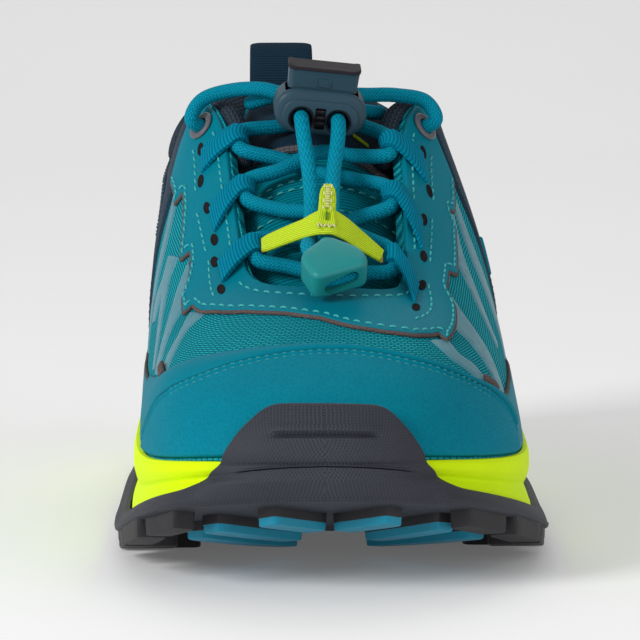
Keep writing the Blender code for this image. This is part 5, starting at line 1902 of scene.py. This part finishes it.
    def tongue_face(self, along: Array, across: Array, lift: Array | float = 0.0) -> tuple[Array, Array]:
        """The tongue's upper face and lower face.

        Args:
            along: Shares from its foot to its top.
            across: Shares from -1 at the inner edge to 1 at the outer.
            lift: A further height of the upper face.

        Returns:
            The two faces' places.
        """
        rows = route(TONGUE, 40)
        at = along * (len(rows) - 1)
        low = np.clip(np.floor(at).astype(int), 0, len(rows) - 2)
        row = rows[low] + (rows[low + 1] - rows[low]) * (at - low)[..., None]
        y, z, half, drop, thick, slope = (row[..., i] for i in range(6))
        lean = np.radians(slope)
        x = self.tongue_centre + across * half * MM
        top = z * MM - drop * MM * np.abs(across) ** 2.2
        deep = thick * MM * (1 - 0.55 * np.abs(across) ** 3)
        out = np.stack([np.zeros_like(x), -np.sin(lean), np.cos(lean)], axis=-1)
        face = np.stack([x, y * MM - LAST.length / 2, top], axis=-1)
        return face + out * np.asarray(lift)[..., None], face - out * deep[..., None]

    def throat_binding(self) -> None:
        """The plaited knit binding along both throat edges, from the upper loops to the collar."""
        for side, name in SIDES:
            knots = np.linspace(4.5, 6.35, 90) * side
            sink = np.interp(np.abs(knots), (4.5, 5.2, 6.35), (3.4, 1.6, 1.2))[:, None] * MM
            path = LAST.edge(knots) - LAST.away(knots) * 3.1 * MM - UP * sink
            obj = tube_skin(Skin(), path, 2.3 * MM, 20).piece(f"throat_binding_{name}", Slot.KNIT, KNIT)

    def cushion(self, along: Array | float) -> Array:
        """The height of the tongue's cushion in millimetres by the share along it."""
        return groove(along, 0.475, 0.075) ** 0.5 * 2.0

    def tongue(self) -> None:
        """The padded tongue, crowned across, with sewn channels across it and a full cushion between
        the middle loops."""
        along, across = np.meshgrid(np.linspace(0, 1, 170), np.linspace(-1, 1, 61), indexing="ij")
        channel = np.abs(np.sin(along * np.pi * 14)) ** 0.5
        soft = (1 - np.abs(across) ** 6) * (1 - np.abs(2 * along - 1) ** 30)
        full = self.cushion(along) * (1 - np.abs(across) ** 5)
        skin = Skin().shell(*self.tongue_face(along, across, ((0.55 * channel - 0.45) * soft + full) * MM))
        obj = skin.piece("padded_tongue", Slot.MESH, TONGUE_MESH, nodes=["tongue"])

    def tongue_top(self) -> None:
        """The navy panel on the tongue's upper half, its wool hem, a bright tag, and the light seams
        across the cushion."""
        share, across = np.meshgrid(np.linspace(0, 1, 60), np.linspace(-1, 1, 41), indexing="ij")
        hem = 0.618 - self.hem_slope * across
        along = hem + (0.985 - hem) * share
        near = np.minimum(np.minimum(share * 20, (1 - share) * 20), (1 - np.abs(across)) * 12)
        rise = (0.15 + 0.85 * quarter_round(near)) * MM
        faces = [self.tongue_face(along, across * 0.94, lift)[0] for lift in (rise, -0.4 * MM)]
        Skin().shell(*faces).piece("tongue_top_panel", Slot.PANEL, PANEL)
        across = np.linspace(-0.92, 0.92, 90)
        line, _ = self.tongue_face(0.612 - self.hem_slope * across, across, 0.7 * MM)
        tube_skin(Skin(), line, 0.9 * MM, 12).piece("tongue_wool_hem", Slot.KNIT, WOOL)
        along, across = np.meshgrid(np.linspace(0.664, 0.676, 5), np.linspace(0.42, 0.60, 9), indexing="ij")
        along = along - 0.10 * (across - 0.5)
        faces = [self.tongue_face(along, across, lift * MM)[0] for lift in (1.25, 0.6)]
        Skin().shell(*faces).piece("tongue_tag", Slot.STRAP, LIME_WEBBING)
        seams = Skin()
        across = np.linspace(-0.86, 0.86, 160)
        for share in (0.497, 0.520, 0.440):
            path, under = self.tongue_face(np.full(160, share), across, self.cushion(share) * MM)
            STITCH.row(seams, path, path - under)
        seams.piece("tongue_seams", Slot.MESH, PALE_THREAD)

    def stitching(self) -> None:
        """Sewn rows: two along the toe cap's seam, round the eyestay, beside the loops, at the throat,
        along the quarter panels' front edges, round the heel panel and down the heel."""
        pale, toe, navy = Skin(), Skin(), Skin()
        seam = [(k, t) for k, t in TOE_CAP_SEAM if -2.3 < k < 2.5]
        for inset in (-0.75, -2.35):
            FINE_STITCH.row(toe, *LAST.line(seam, 1.10 * MM, inset * MM))
        toe.piece("toe_stitching", Slot.SUEDE, DEEP_THREAD)
        STITCH.row(pale, *LAST.line(EYESTAY_EDGE[2:-3], self.stitch_lift, 1.6 * MM))
        sides = ([(side * k, 0.955) for k in (2.9, 3.4, 3.9, 4.3, 4.9)] for side, _ in SIDES)
        for row in (*LOOP_STITCHES, THROAT_STITCHES, *sides):
            STITCH.row(pale, *LAST.line(row, self.stitch_lift))
        pale.piece("pale_stitching", Slot.SUEDE, PALE_THREAD)
        for side, _ in SIDES:
            edge = [(side * abs(k), t) for k, t in QUARTER_EDGE]
            FINE_STITCH.row(navy, *LAST.line(edge, 0.40 * MM, side * 1.6 * MM))
        knots = np.linspace(6.6, 13.4, 60)
        rim = np.column_stack([knots, self.heel_edge(knots, 0.905)])
        for inset in (-0.6, -2.4):
            STITCH.row(navy, *LAST.line(rim, self.heel_lift, inset * MM))
        for knot in (9.75, 10.25):
            STITCH.row(navy, *LAST.line([(knot, 0.88), (knot, 0.06)], self.heel_lift))
        navy.piece("navy_stitching", Slot.PANEL, NAVY_THREAD)

    def pull_loop(self) -> None:
        """The webbing pull loop over the heel."""
        path = route(millimetres([(self.pull_loop_x, a, h) for a, h in PULL_LOOP]), 14)
        widths = np.full(len(path), self.pull_loop_width)
        skin = band_skin(Skin(), path, np.array([1.0, 0, 0]), widths, 1.4 * MM, 25)
        skin.piece("heel_pull_loop", Slot.PANEL, NAVY_WEBBING, nodes=["pull_loop"])

    def side_tab(self) -> None:
        """The small plain tab sewn at the edge of the outer quarter."""
        skin = self.laid(np.linspace(5.75, 5.97, 20), 0.42, 0.55, 1.2 * MM, 20)
        skin.piece("side_tab_fold", Slot.SUEDE, SUEDE, nodes=["side_tab"])


# ===== Lacing =====

# Places are across, along from the toe and above the floor, in millimetres
LACE = (
    (-16, 119, 90.6), (-9, 116, 92.6), (-2, 113.6, 91.4), (6.5, 111.2, 86.6), (13.2, 105, 83.8),
    (13.2, 99.6, 80.2), (6, 99.6, 79.9), (-2, 98.4, 80.7), (-10, 95.9, 77.2), (-17.4, 94.7, 74.9),
    (-17.4, 89.3, 71.2), (-10, 86, 69.2), (-2, 81, 68.8), (5.5, 75.8, 64.6), (11.8, 72.2, 61.8),
    (11.8, 66.9, 58), (5.5, 66.9, 57.4), (-2, 68.4, 57.2), (-9, 70.8, 58.4), (-15.8, 72.4, 59.9),
    (-15.8, 77.8, 63.6), (-9, 79.2, 63.6), (-2, 81.2, 64.5), (5, 84.2, 67.4), (12.7, 84.9, 70),
    (12.7, 90.2, 73.6), (5, 94.4, 75.2), (-2, 98.8, 76.4), (-9.5, 101.8, 79), (-18.4, 103.5, 81.2),
    (-18.4, 108.9, 84.8), (-9.5, 112, 85.8), (-2, 115.2, 87.9), (6, 117.4, 88.9), (12.4, 118.6, 88.4),
)
LACE_TOP_INNER = (
    (-5.6, 109.2, 90.6), (-8, 111.6, 92.2), (-13.5, 114, 93.8), (-20.5, 116.6, 93.4),
    (-26.6, 117, 91.4), (-29.1, 115.9, 87.2), (-26.1, 117.8, 85), (-23.5, 119.3, 83.2),
)
LACE_TOP_OUTER = (
    (2.3, 109.3, 90.2), (4.5, 111, 92.4), (10, 114, 92.5), (15.8, 115, 92.4),
    (22, 114.4, 91.2), (24.4, 112.8, 87.2), (21.3, 115, 84.9), (18.8, 116.7, 83.1),
)
TAIL_INNER = (
    (-5.6, 103, 88.9), (-5.6, 97.6, 87.4), (-5.2, 92.6, 83.2), (-4.6, 86.8, 78.2), (-4.3, 81, 73.2),
    (-4.4, 76, 69), (-4.8, 71, 65.6), (-5.4, 66.4, 63.8), (-5.7, 62, 63.3), (-5.2, 58.6, 62.3),
    (-4.3, 56.4, 61.5),
)
TAIL_OUTER = (
    (2.3, 103, 88.1), (2.3, 97.6, 86.6), (1.8, 92.6, 82.8), (0.8, 86.8, 78), (0.2, 81, 73.5),
    (-0.2, 76, 69.4), (-0.8, 71, 65.6), (-1.5, 66.4, 63.9), (-1.9, 62.4, 63.6), (-1.5, 59.6, 63),
    (-0.7, 57.8, 62.5),
)
# Webbing loops: the knot where the cord lies, then knot and share of the two slots at its base
LACE_LOOPS = {
    "lace_loop_1_outer": (4.40, 4.70, 0.900, 4.22, 0.872),
    "lace_loop_2_outer": (3.60, 3.55, 0.905, 2.98, 0.912),
    "lace_loop_3_outer": (2.50, 2.20, 0.915, 1.50, 0.865),
    "lace_loop_1_inner": (-4.45, -4.82, 0.885, -4.40, 0.862),
    "lace_loop_2_inner": (-3.65, -3.80, 0.875, -3.30, 0.888),
    "lace_loop_3_inner": (-2.62, -2.83, 0.880, -2.25, 0.880),
}
KEEPER_STRAP = (
    (-14.6, 72.2, 62.9), (-11, 70, 64.6), (-7, 67.2, 66.4), (-2, 64.8, 68.3),
    (1.6, 65.2, 67), (5.6, 66.3, 64), (9.6, 67.2, 61),
)
KEEPER_HEAD = ((-2, 63.6, 66.4), (-1.8, 64.9, 68.7), (-1.4, 68.4, 72), (-1.1, 71.8, 75.2))

# Widths of strap and head in millimetres, by the share along them
STRAP_WIDTHS = ((0, 3.4), (0.04, 4), (0.35, 4.6), (0.5, 6.4), (0.62, 6), (0.85, 4.6), (1, 3.2))
HEAD_WIDTHS = ((0, 1.6), (0.06, 3.4), (0.2, 4.4), (0.45, 3.7), (0.8, 3.5), (0.92, 3), (0.98, 2), (1, 1))

# The tack's stitches: slant, and shift to the side in millimetres
TACK_STITCHES = ((-0.9, -1), (0.5, -0.2), (-0.3, 0.5), (1, 1.1), (0, -1.6), (-0.6, 1.7))

# Flat ovals: size as a share and height in millimetres, from the middle outwards
SLOT_ROWS = ((0, 0.02), (0.7, 0.04), (0.9, 0.16), (1, 0.1), (1, -0.4))
SLIT_ROWS = ((0, 0.02), (0.8, 0.02), (1, 0), (1, -0.5))

# What is cut from the lock: level, two half sizes and corner of each ring in millimetres
LOCK_POCKET = ((-3.4, 1.5, 2.3, 0.4), (1.25, 1.5, 2.3, 0.4), (1.25, 7.95, 3.1, 0.6), (9.5, 7.95, 3.1, 0.6))
LOCK_WINDOW = ((3.3, 1.15, 2.35, 0.35), (8, 1.15, 2.35, 0.35))
LOCK_HOLE = (
    (-12, 2.1, 2.1, 2.05), (3.9, 2.1, 2.1, 2.05), (4.6, 2.4, 2.4, 2.35),
    (5.1, 3.1, 3.1, 3.05), (8, 3.1, 3.1, 3.05),
)

# The square line on the button's front, in the lock's axes in millimetres
BUTTON_SQUARE = (
    (-1.5, 2.72, 5.6), (1.5, 2.72, 5.6), (1.5, 2.72, 7.6), (-1.5, 2.72, 7.6), (-1.5, 2.72, 5.6),
)

# The push button from its stem up: height, width, depth and the dip of its middle in millimetres
BUTTON_ROWS = (
    (0.3, 2.4, 4, 0), (4.4, 2.4, 4, 0), (4.6, 14.9, 5.1, 0), (8.1, 15.2, 5.5, 0), (8.95, 15.35, 5.9, 0.2),
    (9.15, 15.6, 6.4, 0.4), (9.7, 15.7, 6.6, 0.8), (10, 15.6, 6.5, 1.05), (10.1, 15.2, 6.1, 1.1),
    (10.1, 14.6, 5.2, 1.1),
)

# The cord end's outline: across and up in millimetres, in its own rolled axes
END_OUTLINE = ((-6.6, -5.6), (5.6, -5.8), (6.5, -0.8), (1.6, 6.1), (-6.4, 2.6))


@dataclass(frozen=True)
class Stand:
    """The place and the three axes of a small part, whose own shapes are in millimetres."""

    centre: tuple[float, float, float]
    axes: tuple[Array, Array, Array]

    def put(self, shape: Array) -> Array:
        """Carries places in the part's axes into the shoe's frame."""
        return millimetres([self.centre])[0] + shape * MM @ np.stack(self.axes)

    def skin(self, shape: Array) -> Skin:
        """A skin with one grid in the part's axes."""
        return Skin().grid(self.put(shape))


@dataclass(frozen=True)
class Lacing:
    """Cords, webbing loops, eyelets, the cord lock, the cord end and the keeper."""

    cord: float = 3.2 * MM
    loop_thick: float = 0.9 * MM
    loop_half: float = 2.5 * MM
    loop_base: float = 0.84
    loop_reach: float = 2.2 * MM
    loop_lift: float = 1.2 * MM
    lock_centre: tuple[float, float, float] = (-1.5, 103.7, 90.1)
    lock_tilt: float = 15.0
    lock_roll: float = 6.0
    end_centre: tuple[float, float, float] = (-1.1, 54.5, 60.2)
    end_lean: float = 55.0
    end_roll: float = 24.0
    button_width: float = 15.7
    eyelet_knot: float = 5.2
    eyelet_share: float = 0.93

    def build(self) -> None:
        """Makes every piece of the lacing, the cords first."""
        self.cords()
        end = self.cord_end()
        self.tails()
        self.loops()
        self.eyelets()
        self.lock_body()
        self.lock_button()
        self.keeper()

    def course(self, points: Rows, spacing: float = 0.45 * MM) -> Array:
        """A cord's middle line through places in millimetres."""
        return evenly(route(millimetres(points), 24), spacing)

    def cords(self) -> None:
        """The lace and its two top runs: round tubes along their routes."""
        cords = {"lace": LACE, "lace_top_inner": LACE_TOP_INNER, "lace_top_outer": LACE_TOP_OUTER}
        for name, points in cords.items():
            skin = tube_skin(Skin(), self.course(points), self.cord / 2)
            skin.piece(name + "_cord", Slot.CORD, CORD_BRAID, nodes=[name])

    def tails(self) -> None:
        """The two free tails that hang from the lock to the cord end.
        """
        for name, points in (("lace_tail_inner", TAIL_INNER), ("lace_tail_outer", TAIL_OUTER)):
            path = self.course(points)
            skin = tube_skin(Skin(), path, self.cord / 2)
            obj = skin.piece(name + "_cord", Slot.CORD, TAIL_BRAID, nodes=[name])

    def loop_centre(self, knot: float) -> Array:
        """Where the cord lies in a loop: inwards from the throat's edge and above it.

        Args:
            knot: The loop's place round the shoe.

        Returns:
            The place.
        """
        edge = LAST.edge(np.array([knot, knot + 0.05, knot - 0.05]))
        along = edge[1] - edge[2]
        return edge[0] + self.loop_reach * unit(np.array([-along[1], along[0], 0.0])) + self.loop_lift * UP

    def loops(self) -> None:
        """The webbing loops: each leaves its two slots flat on the eyestay and folds round the cord, as
        a sleeve carried along the cord's own turn."""
        cord = self.course(LACE, 0.3 * MM)
        run = spread(cord)
        slots = Skin()
        turn = np.radians(np.linspace(72, 275, 15))[None, :, None]
        flat = np.linspace(0, 1, 11)[None, :-1, None]
        for name, (knot, first_k, first_t, second_k, second_t) in LACE_LOOPS.items():
            middle = run[np.argmin(np.linalg.norm(cord - self.loop_centre(knot), axis=1))]
            base_k, base_t = np.array([first_k, second_k]), np.array([first_t, second_t])
            corners = LAST.wall(base_k, base_t + 0.012, 0.75 * MM)
            corners = corners.mean(axis=0) + (corners - corners.mean(axis=0)) * self.loop_base
            out = unit(LAST.square(base_k, base_t).mean(axis=0))
            at = middle + np.linspace(-1, 1, 25) * self.loop_half
            line = read(at, run, cord)
            ahead = unit(np.gradient(line, axis=0))
            flip = (corners[0] - corners[1]) @ (line[-1] - line[0]) > 0
            share = (np.linspace(1, 0, 25) if flip else np.linspace(0, 1, 25))[:, None]
            base = corners[0] * (1 - share) + corners[1] * share
            lead = base - line
            lead = unit(lead - ahead * np.sum(lead * ahead, axis=1, keepdims=True))
            rise = np.cross(ahead, lead)
            rise = rise * np.sign(np.sum(rise * out))
            spoke = np.cos(turn) * lead[:, None] + np.sin(turn) * rise[:, None]
            faces = []
            for room, lift in ((0.95 * MM, self.loop_thick), (0.12 * MM, 0.0)):
                fold = line[:, None] + (self.cord / 2 + room) * spoke
                lay = (base + out * lift)[:, None] * (1 - flat) + fold[:, :1] * flat
                lay = lay + out * (0.55 * MM * np.sin(np.pi * flat))
                faces.append(np.concatenate([lay, fold], axis=1).transpose(1, 0, 2))
            skin = Skin().shell(*faces)
            skin.piece(name + "_webbing", Slot.CORD, LOOP_WEBBING, nodes=[name])
            self.slots(slots, base_k, base_t, unit(corners[0] - corners[1]))
        # The slot ovals are painted shade for the openings
        slots.piece("loop_slots", Slot.SUEDE, SLOT_SHADE)

    def slots(self, skin: Skin, knots: Array, shares: Array, span: Array) -> None:
        """Adds two slots beside a loop's base: flat dark ovals of painted shade where the openings are,
        raised a little at the rim.

        Args:
            skin: The skin that takes them.
            knots: The base corners' places round the shoe.
            shares: Their shares of the way up.
            span: The way across the loop's base.
        """
        for k, t, out, sign in zip(knots, shares, LAST.square(knots, shares), (1, -1)):
            first = unit(span - out * (span @ out))
            centre = LAST.wall(k, t, 1.06 * MM) + first * sign * 0.9 * MM
            oval_skin(skin, centre, first * 2.1 * MM, np.cross(out, first) * 0.85 * MM, out, SLOT_ROWS)

    def eyelets(self) -> None:
        """The rings of the two top eyelets: a round bead carried round each hole."""
        turn = np.linspace(0, 2 * np.pi, 49)[:, None, None]
        bead = np.linspace(0, 2 * np.pi, 17)[None, :, None]
        for side, name in SIDES:
            knot, share = np.array([side * self.eyelet_knot]), np.array([self.eyelet_share])
            out = LAST.square(knot, share)[0]
            first = unit(np.cross(out, UP))
            spoke = np.cos(turn) * first + np.sin(turn) * np.cross(out, first)
            points = LAST.wall(knot, share)[0] + 1.35 * MM * out + spoke * (2.55 + 0.80 * np.cos(bead)) * MM
            points = points + np.sin(bead) * 0.5 * MM * out
            points[-1], points[:, -1] = points[0], points[:, 0]
            Skin().grid(points).piece(f"eyelet_{name}_ring", Slot.RING, RING_METAL, nodes=[f"eyelet_{name}"])

    def lock_stand(self) -> Stand:
        """The lock's place, and its ways across, towards the toe and towards the button.

        Returns:
            The stand.
        """
        tilt, roll = math.radians(self.lock_tilt), math.radians(self.lock_roll)
        press = np.array([math.sin(roll), -math.sin(tilt) * math.cos(roll), math.cos(tilt) * math.cos(roll)])
        face = np.array([0.0, -math.cos(tilt), -math.sin(tilt)])
        face = unit(face - press * (face @ press))
        return Stand(self.lock_centre, (-np.cross(face, press), face, press))

    def stadium(self, half_x: float, half_z: float, corner: float) -> Array:
        """A ring with round corners: a quarter circle round each of four corner centres.

        Args:
            half_x: Half its width.
            half_z: Half its height.
            corner: The corners' radius.

        Returns:
            The closed ring.
        """
        turn = np.linspace(0, np.pi / 2, 13)[None] + np.arange(4)[:, None] * np.pi / 2
        middle = np.array([(1, 1), (-1, 1), (-1, -1), (1, -1)]) * np.array([half_x - corner, half_z - corner])
        ring = (middle[:, None] + corner * np.stack([np.cos(turn), np.sin(turn)], axis=2)).reshape(-1, 2)
        return np.vstack([ring, ring[:1]])

    def stack(self, rows: Rows, centre: Sequence[float] = (0, 0, 0), upright: bool = False) -> Array:
        """A closed body of round-cornered rings one above the other.

        Args:
            rows: Level, two half sizes and corner of each ring.
            centre: Where its middle lies.
            upright: True where the levels run along the third axis, else along the second.

        Returns:
            Its grid, drawn to a point at both ends.
        """
        rings = np.stack([self.stadium(*row[1:]) for row in rows])
        flat = np.concatenate([rings[:1] * 0, rings, rings[-1:] * 0])
        level = np.array([rows[0][0], *(row[0] for row in rows), rows[-1][0]])[:, None]
        level = np.broadcast_to(level, flat.shape[:2])
        parts = [flat[..., 0], flat[..., 1], level] if upright else [flat[..., 0], level, flat[..., 1]]
        return np.stack(parts, axis=2) + np.asarray(centre, float)

    def rounded(self, corners: Rows, window: float) -> Array:
        """A ring through corners, each place averaged over a window so that the corners round off.

        Args:
            corners: The corners in order.
            window: The stretch that each place is averaged over.

        Returns:
            The closed ring.
        """
        loop = np.asarray([*corners, corners[0]], float)
        ring = evenly(loop, spread(loop)[-1] / 192)[:-1]
        reach = int(window / 2 / (spread(loop)[-1] / 192))
        soft = sum(np.roll(ring, i, axis=0) for i in range(-reach, reach + 1)) / (2 * reach + 1)
        return np.vstack([soft[::2], soft[:1]])

    def pillow(
        self, ring: Array, half: float, soft: float, power: float = 2.5, centre: Sequence[float] = (0, 0, 0)
    ) -> Array:
        """A block in its own axes: a ring in the first and third axes, carried along the second and
        drawn in near both ends by a superellipse.

        Args:
            ring: The outline, closed.
            half: Half its depth.
            soft: How far from each end it starts to draw in.
            power: How square the drawing in is.
            centre: Where its middle lies.

        Returns:
            Its grid, closed at both ends.
        """
        bend = np.linspace(0, 1, 9)
        draw = soft * (1 - (1 - (1 - bend) ** power) ** (1 / power))
        levels = np.concatenate([-half + soft * bend, (half - soft * bend)[::-1]])
        insets = np.concatenate([draw, draw[::-1]])
        edge = unit(np.diff(ring, axis=0))
        ahead = edge + np.roll(edge, 1, axis=0)
        outward = unit(np.stack([ahead[:, 1], -ahead[:, 0]], axis=1))
        outward = np.vstack([outward, outward[:1]])
        outward = outward * np.sign(np.sum(outward * ring))
        flat = ring[None] - insets[:, None, None] * outward[None]
        flat = np.concatenate([flat[:1] * 0, flat, flat[-1:] * 0])
        levels = np.concatenate([levels[:1], levels, levels[-1:]])
        levels = np.broadcast_to(levels[:, None], flat.shape[:2])
        grid = np.stack([flat[..., 0], levels, flat[..., 1]], axis=2)
        grid[:, -1] = grid[:, 0]
        return grid + np.asarray(centre, float)

    def lock_cutters(self, stand: Stand) -> list[Object]:
        """The bodies cut from the lock: two flared cord holes, the button's pocket and stem well, and
        the window in its front.

        Args:
            stand: The lock's stand.

        Returns:
            The bodies.
        """
        shapes = [self.stack(LOCK_POCKET, upright=True), self.stack(LOCK_WINDOW, (0, 0, -1.0))]
        shapes += [self.stack(LOCK_HOLE, (across, 0, -1.4)) for across in (-3.95, 3.95)]
        # The cutters' darker plastic lines the cut faces with painted shade
        return [stand.skin(shape).build(f"cutter_{i}", HOLE_SHADE_PLASTIC) for i, shape in enumerate(shapes)]

    def lock_body(self) -> None:
        """The lock's body: a block with round ends and a raised front plate, cut by its holes, pocket
        and window, and the small bars in that window."""
        stand = self.lock_stand()
        block = self.pillow(self.stadium(9.95, 4.95, 4.85), 4.5, 1.6, 2.2)
        plate = self.pillow(self.stadium(8.3, 3.6, 3.5), 0.6, 0.4, 2.0, centre=(0, 4.35, -0.75))
        for name, shape, nodes in (("shell", block, ["cord_lock_body"]), ("plate", plate, [])):
            obj = stand.skin(shape).build(f"cord_lock_{name}", LOCK_PLASTIC)
            carve(obj, self.lock_cutters(stand))
            seat(obj, nodes=nodes)
        bars = Skin()
        for rise in (-2.2, -0.9, 0.5):
            bars.grid(stand.put(self.pillow(self.stadium(1.1, 0.28, 0.2), 0.5, 0.2, centre=(0, 4.1, rise))))
        bars.piece("cord_lock_window_bars", Slot.LOCK, RIM_PLASTIC)

    def saddle(self, x: Array, rise: float, dip: float) -> Array:
        """A level across the button that dips in its middle."""
        return rise - dip * (1 - (2 * x / self.button_width) ** 2)

    def lock_button(self) -> None:
        """The push button: a rounded outline carried up from its stem to a saddled head with a darker
        rim, and a fine square line on its front."""
        stand = self.lock_stand()
        turn = np.linspace(0, 2 * np.pi, 97)
        rows = []
        for rise, wide, deep, dip in BUTTON_ROWS:
            corner = min(1.3, wide / 2.2, deep / 2.2)
            x = np.sign(np.cos(turn)) * (wide / 2 - corner) + corner * np.cos(turn)
            y = np.sign(np.sin(turn)) * (deep / 2 - corner) + corner * np.sin(turn)
            rows.append(np.stack([x, y, self.saddle(x, rise, dip)], axis=1))
        rows += [rows[-1] * np.array([1, shrink, 1]) for shrink in (0.66, 0.33, 0.0)]
        grid = np.stack([rows[0] * np.array([0, 0, 1]), *rows])
        grid[:, -1] = grid[:, 0]
        skin = stand.skin(grid[:6]).grid(stand.put(grid[5:]), slot=1)
        line = evenly(np.array(BUTTON_SQUARE), 0.25)
        tube_skin(skin, stand.put(line), 0.16 * MM, 7)
        finishes = (LOCK_PLASTIC, RIM_PLASTIC)
        nodes = ["cord_lock_button"]
        skin.piece("cord_lock_push_button", Slot.LOCK, *finishes, nodes=nodes, body=Body.BUTTON, sharp=35)

    def end_stand(self) -> Stand:
        """The cord end's place, and its ways across, out of its face and up.

        Returns:
            The stand.
        """
        lean, roll = math.radians(self.end_lean), math.radians(self.end_roll)
        face = np.array([0.0, -math.cos(lean), math.sin(lean)])
        up = np.array([0.0, math.sin(lean), math.cos(lean)])
        across = np.array([1.0, 0.0, 0.0])
        turned = across * math.cos(roll) + up * math.sin(roll)
        return Stand(self.end_centre, (turned, face, up * math.cos(roll) - across * math.sin(roll)))

    def cord_end(self) -> Object:
        """The rubber cord end: a five-sided outline with round corners carried through its depth, a
        slot through its lower wall, and the cord's turn that shows in the slot.

        Returns:
            Its piece.
        """
        stand = self.end_stand()
        block = self.pillow(self.rounded(END_OUTLINE, 4.6), 3.3, 1.3, 2.2)
        obj = stand.skin(block).build("rubber_cord_end", END_RUBBER)
        slant = np.array([(0.97, 0.24, 0), (-0.24, 0.97, 0), (0, 0, 1)])
        slot = self.pillow(self.stadium(3.9, 3.4, 1.7), 1.5, 1.45, 2.0) @ slant + np.array([-0.6, -0.2, -6.2])
        carve(obj, [stand.skin(slot).build("slot_cutter", END_RUBBER)])
        across = np.linspace(-4.4, 3.2, 30)
        line = np.stack([across, np.full(30, -0.3), -4.3 + 0.03 * across**2], axis=1)
        tube_skin(Skin(), stand.put(line), 1.15 * MM, 14).piece("cord_turn_in_end", Slot.CORD, CORD_BRAID)
        return seat(obj, nodes=["cord_end"])

    def keeper(self) -> None:
        """The bright keeper: a strap with drooping ends, its upright folded head with a slit, a ladder
        of stitches up the head and a cream tack where they meet."""
        lean, level = np.array([0, 0.6, 0.8]), np.array([1.0, 0, 0])
        path, head = (route(millimetres(points), 14) for points in (KEEPER_STRAP, KEEPER_HEAD))
        widths, head_widths = (
            np.interp(np.linspace(0, 1, len(line)), *np.array(rows).T) * MM
            for line, rows in ((path, STRAP_WIDTHS), (head, HEAD_WIDTHS))
        )
        skin = band_skin(Skin(), path, lean, widths, 1.2 * MM, 21)
        band_skin(skin, head, level, head_widths, 1.9 * MM, 17, crown=0.35 * MM)
        skin.piece("lime_keeper", Slot.STRAP, LIME_WEBBING, nodes=["keeper"])
        ends, ladder, tack = Skin(), Skin(), Skin()
        for end in (0, -1):
            line = path[end] + lean * np.linspace(-0.42, 0.42, 9)[:, None] * widths[end]
            tube_skin(ends, line, 0.42 * MM, 9)
        ends.piece("keeper_raw_ends", Slot.STRAP, RAW_EDGE)
        ahead = unit(head[-1] - head[0])
        out = unit(np.cross(level, ahead))
        out = out * np.sign(-out[1])
        side = np.cross(ahead, out)
        for offset in (-0.75, 0.75):
            FINE_STITCH.row(ladder, head[18:] + side * offset * MM + out * 1.25 * MM, out)
        for step in np.linspace(22, len(head) - 5, 9).astype(int):
            line = head[step] + side * np.linspace(-0.7, 0.7, 5)[:, None] * MM + out * 1.22 * MM
            FINE_STITCH.row(ladder, line, out)
        ladder.piece("keeper_ladder_stitches", Slot.STRAP, CREAM_THREAD)
        for slant, shift in TACK_STITCHES:
            way = unit(side * slant + ahead)
            line = head[3] + side * shift * MM + way * np.linspace(-1.1, 1.1, 7)[:, None] * MM
            FINE_STITCH.row(tack, line + out * 1.15 * MM, out)
        tack.piece("keeper_cream_tack", Slot.STRAP, CREAM_THREAD)
        # The slit is a flat oval of painted shade, not an opening
        slit = head[15] + out * 1.28 * MM
        skin = oval_skin(Skin(), slit, ahead * 1.15 * MM, side * 0.26 * MM, out, SLIT_ROWS, 16)
        skin.piece("keeper_slit", Slot.STRAP, SLIT_SHADE)


def main() -> None:
    """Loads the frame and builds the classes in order."""
    logging.basicConfig(level=logging.INFO, format="%(name)s %(message)s")
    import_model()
    Studio().build()
    Lacing().build()
    Sole().build()
    Upper().build()


if __name__ == "__main__":
    main()
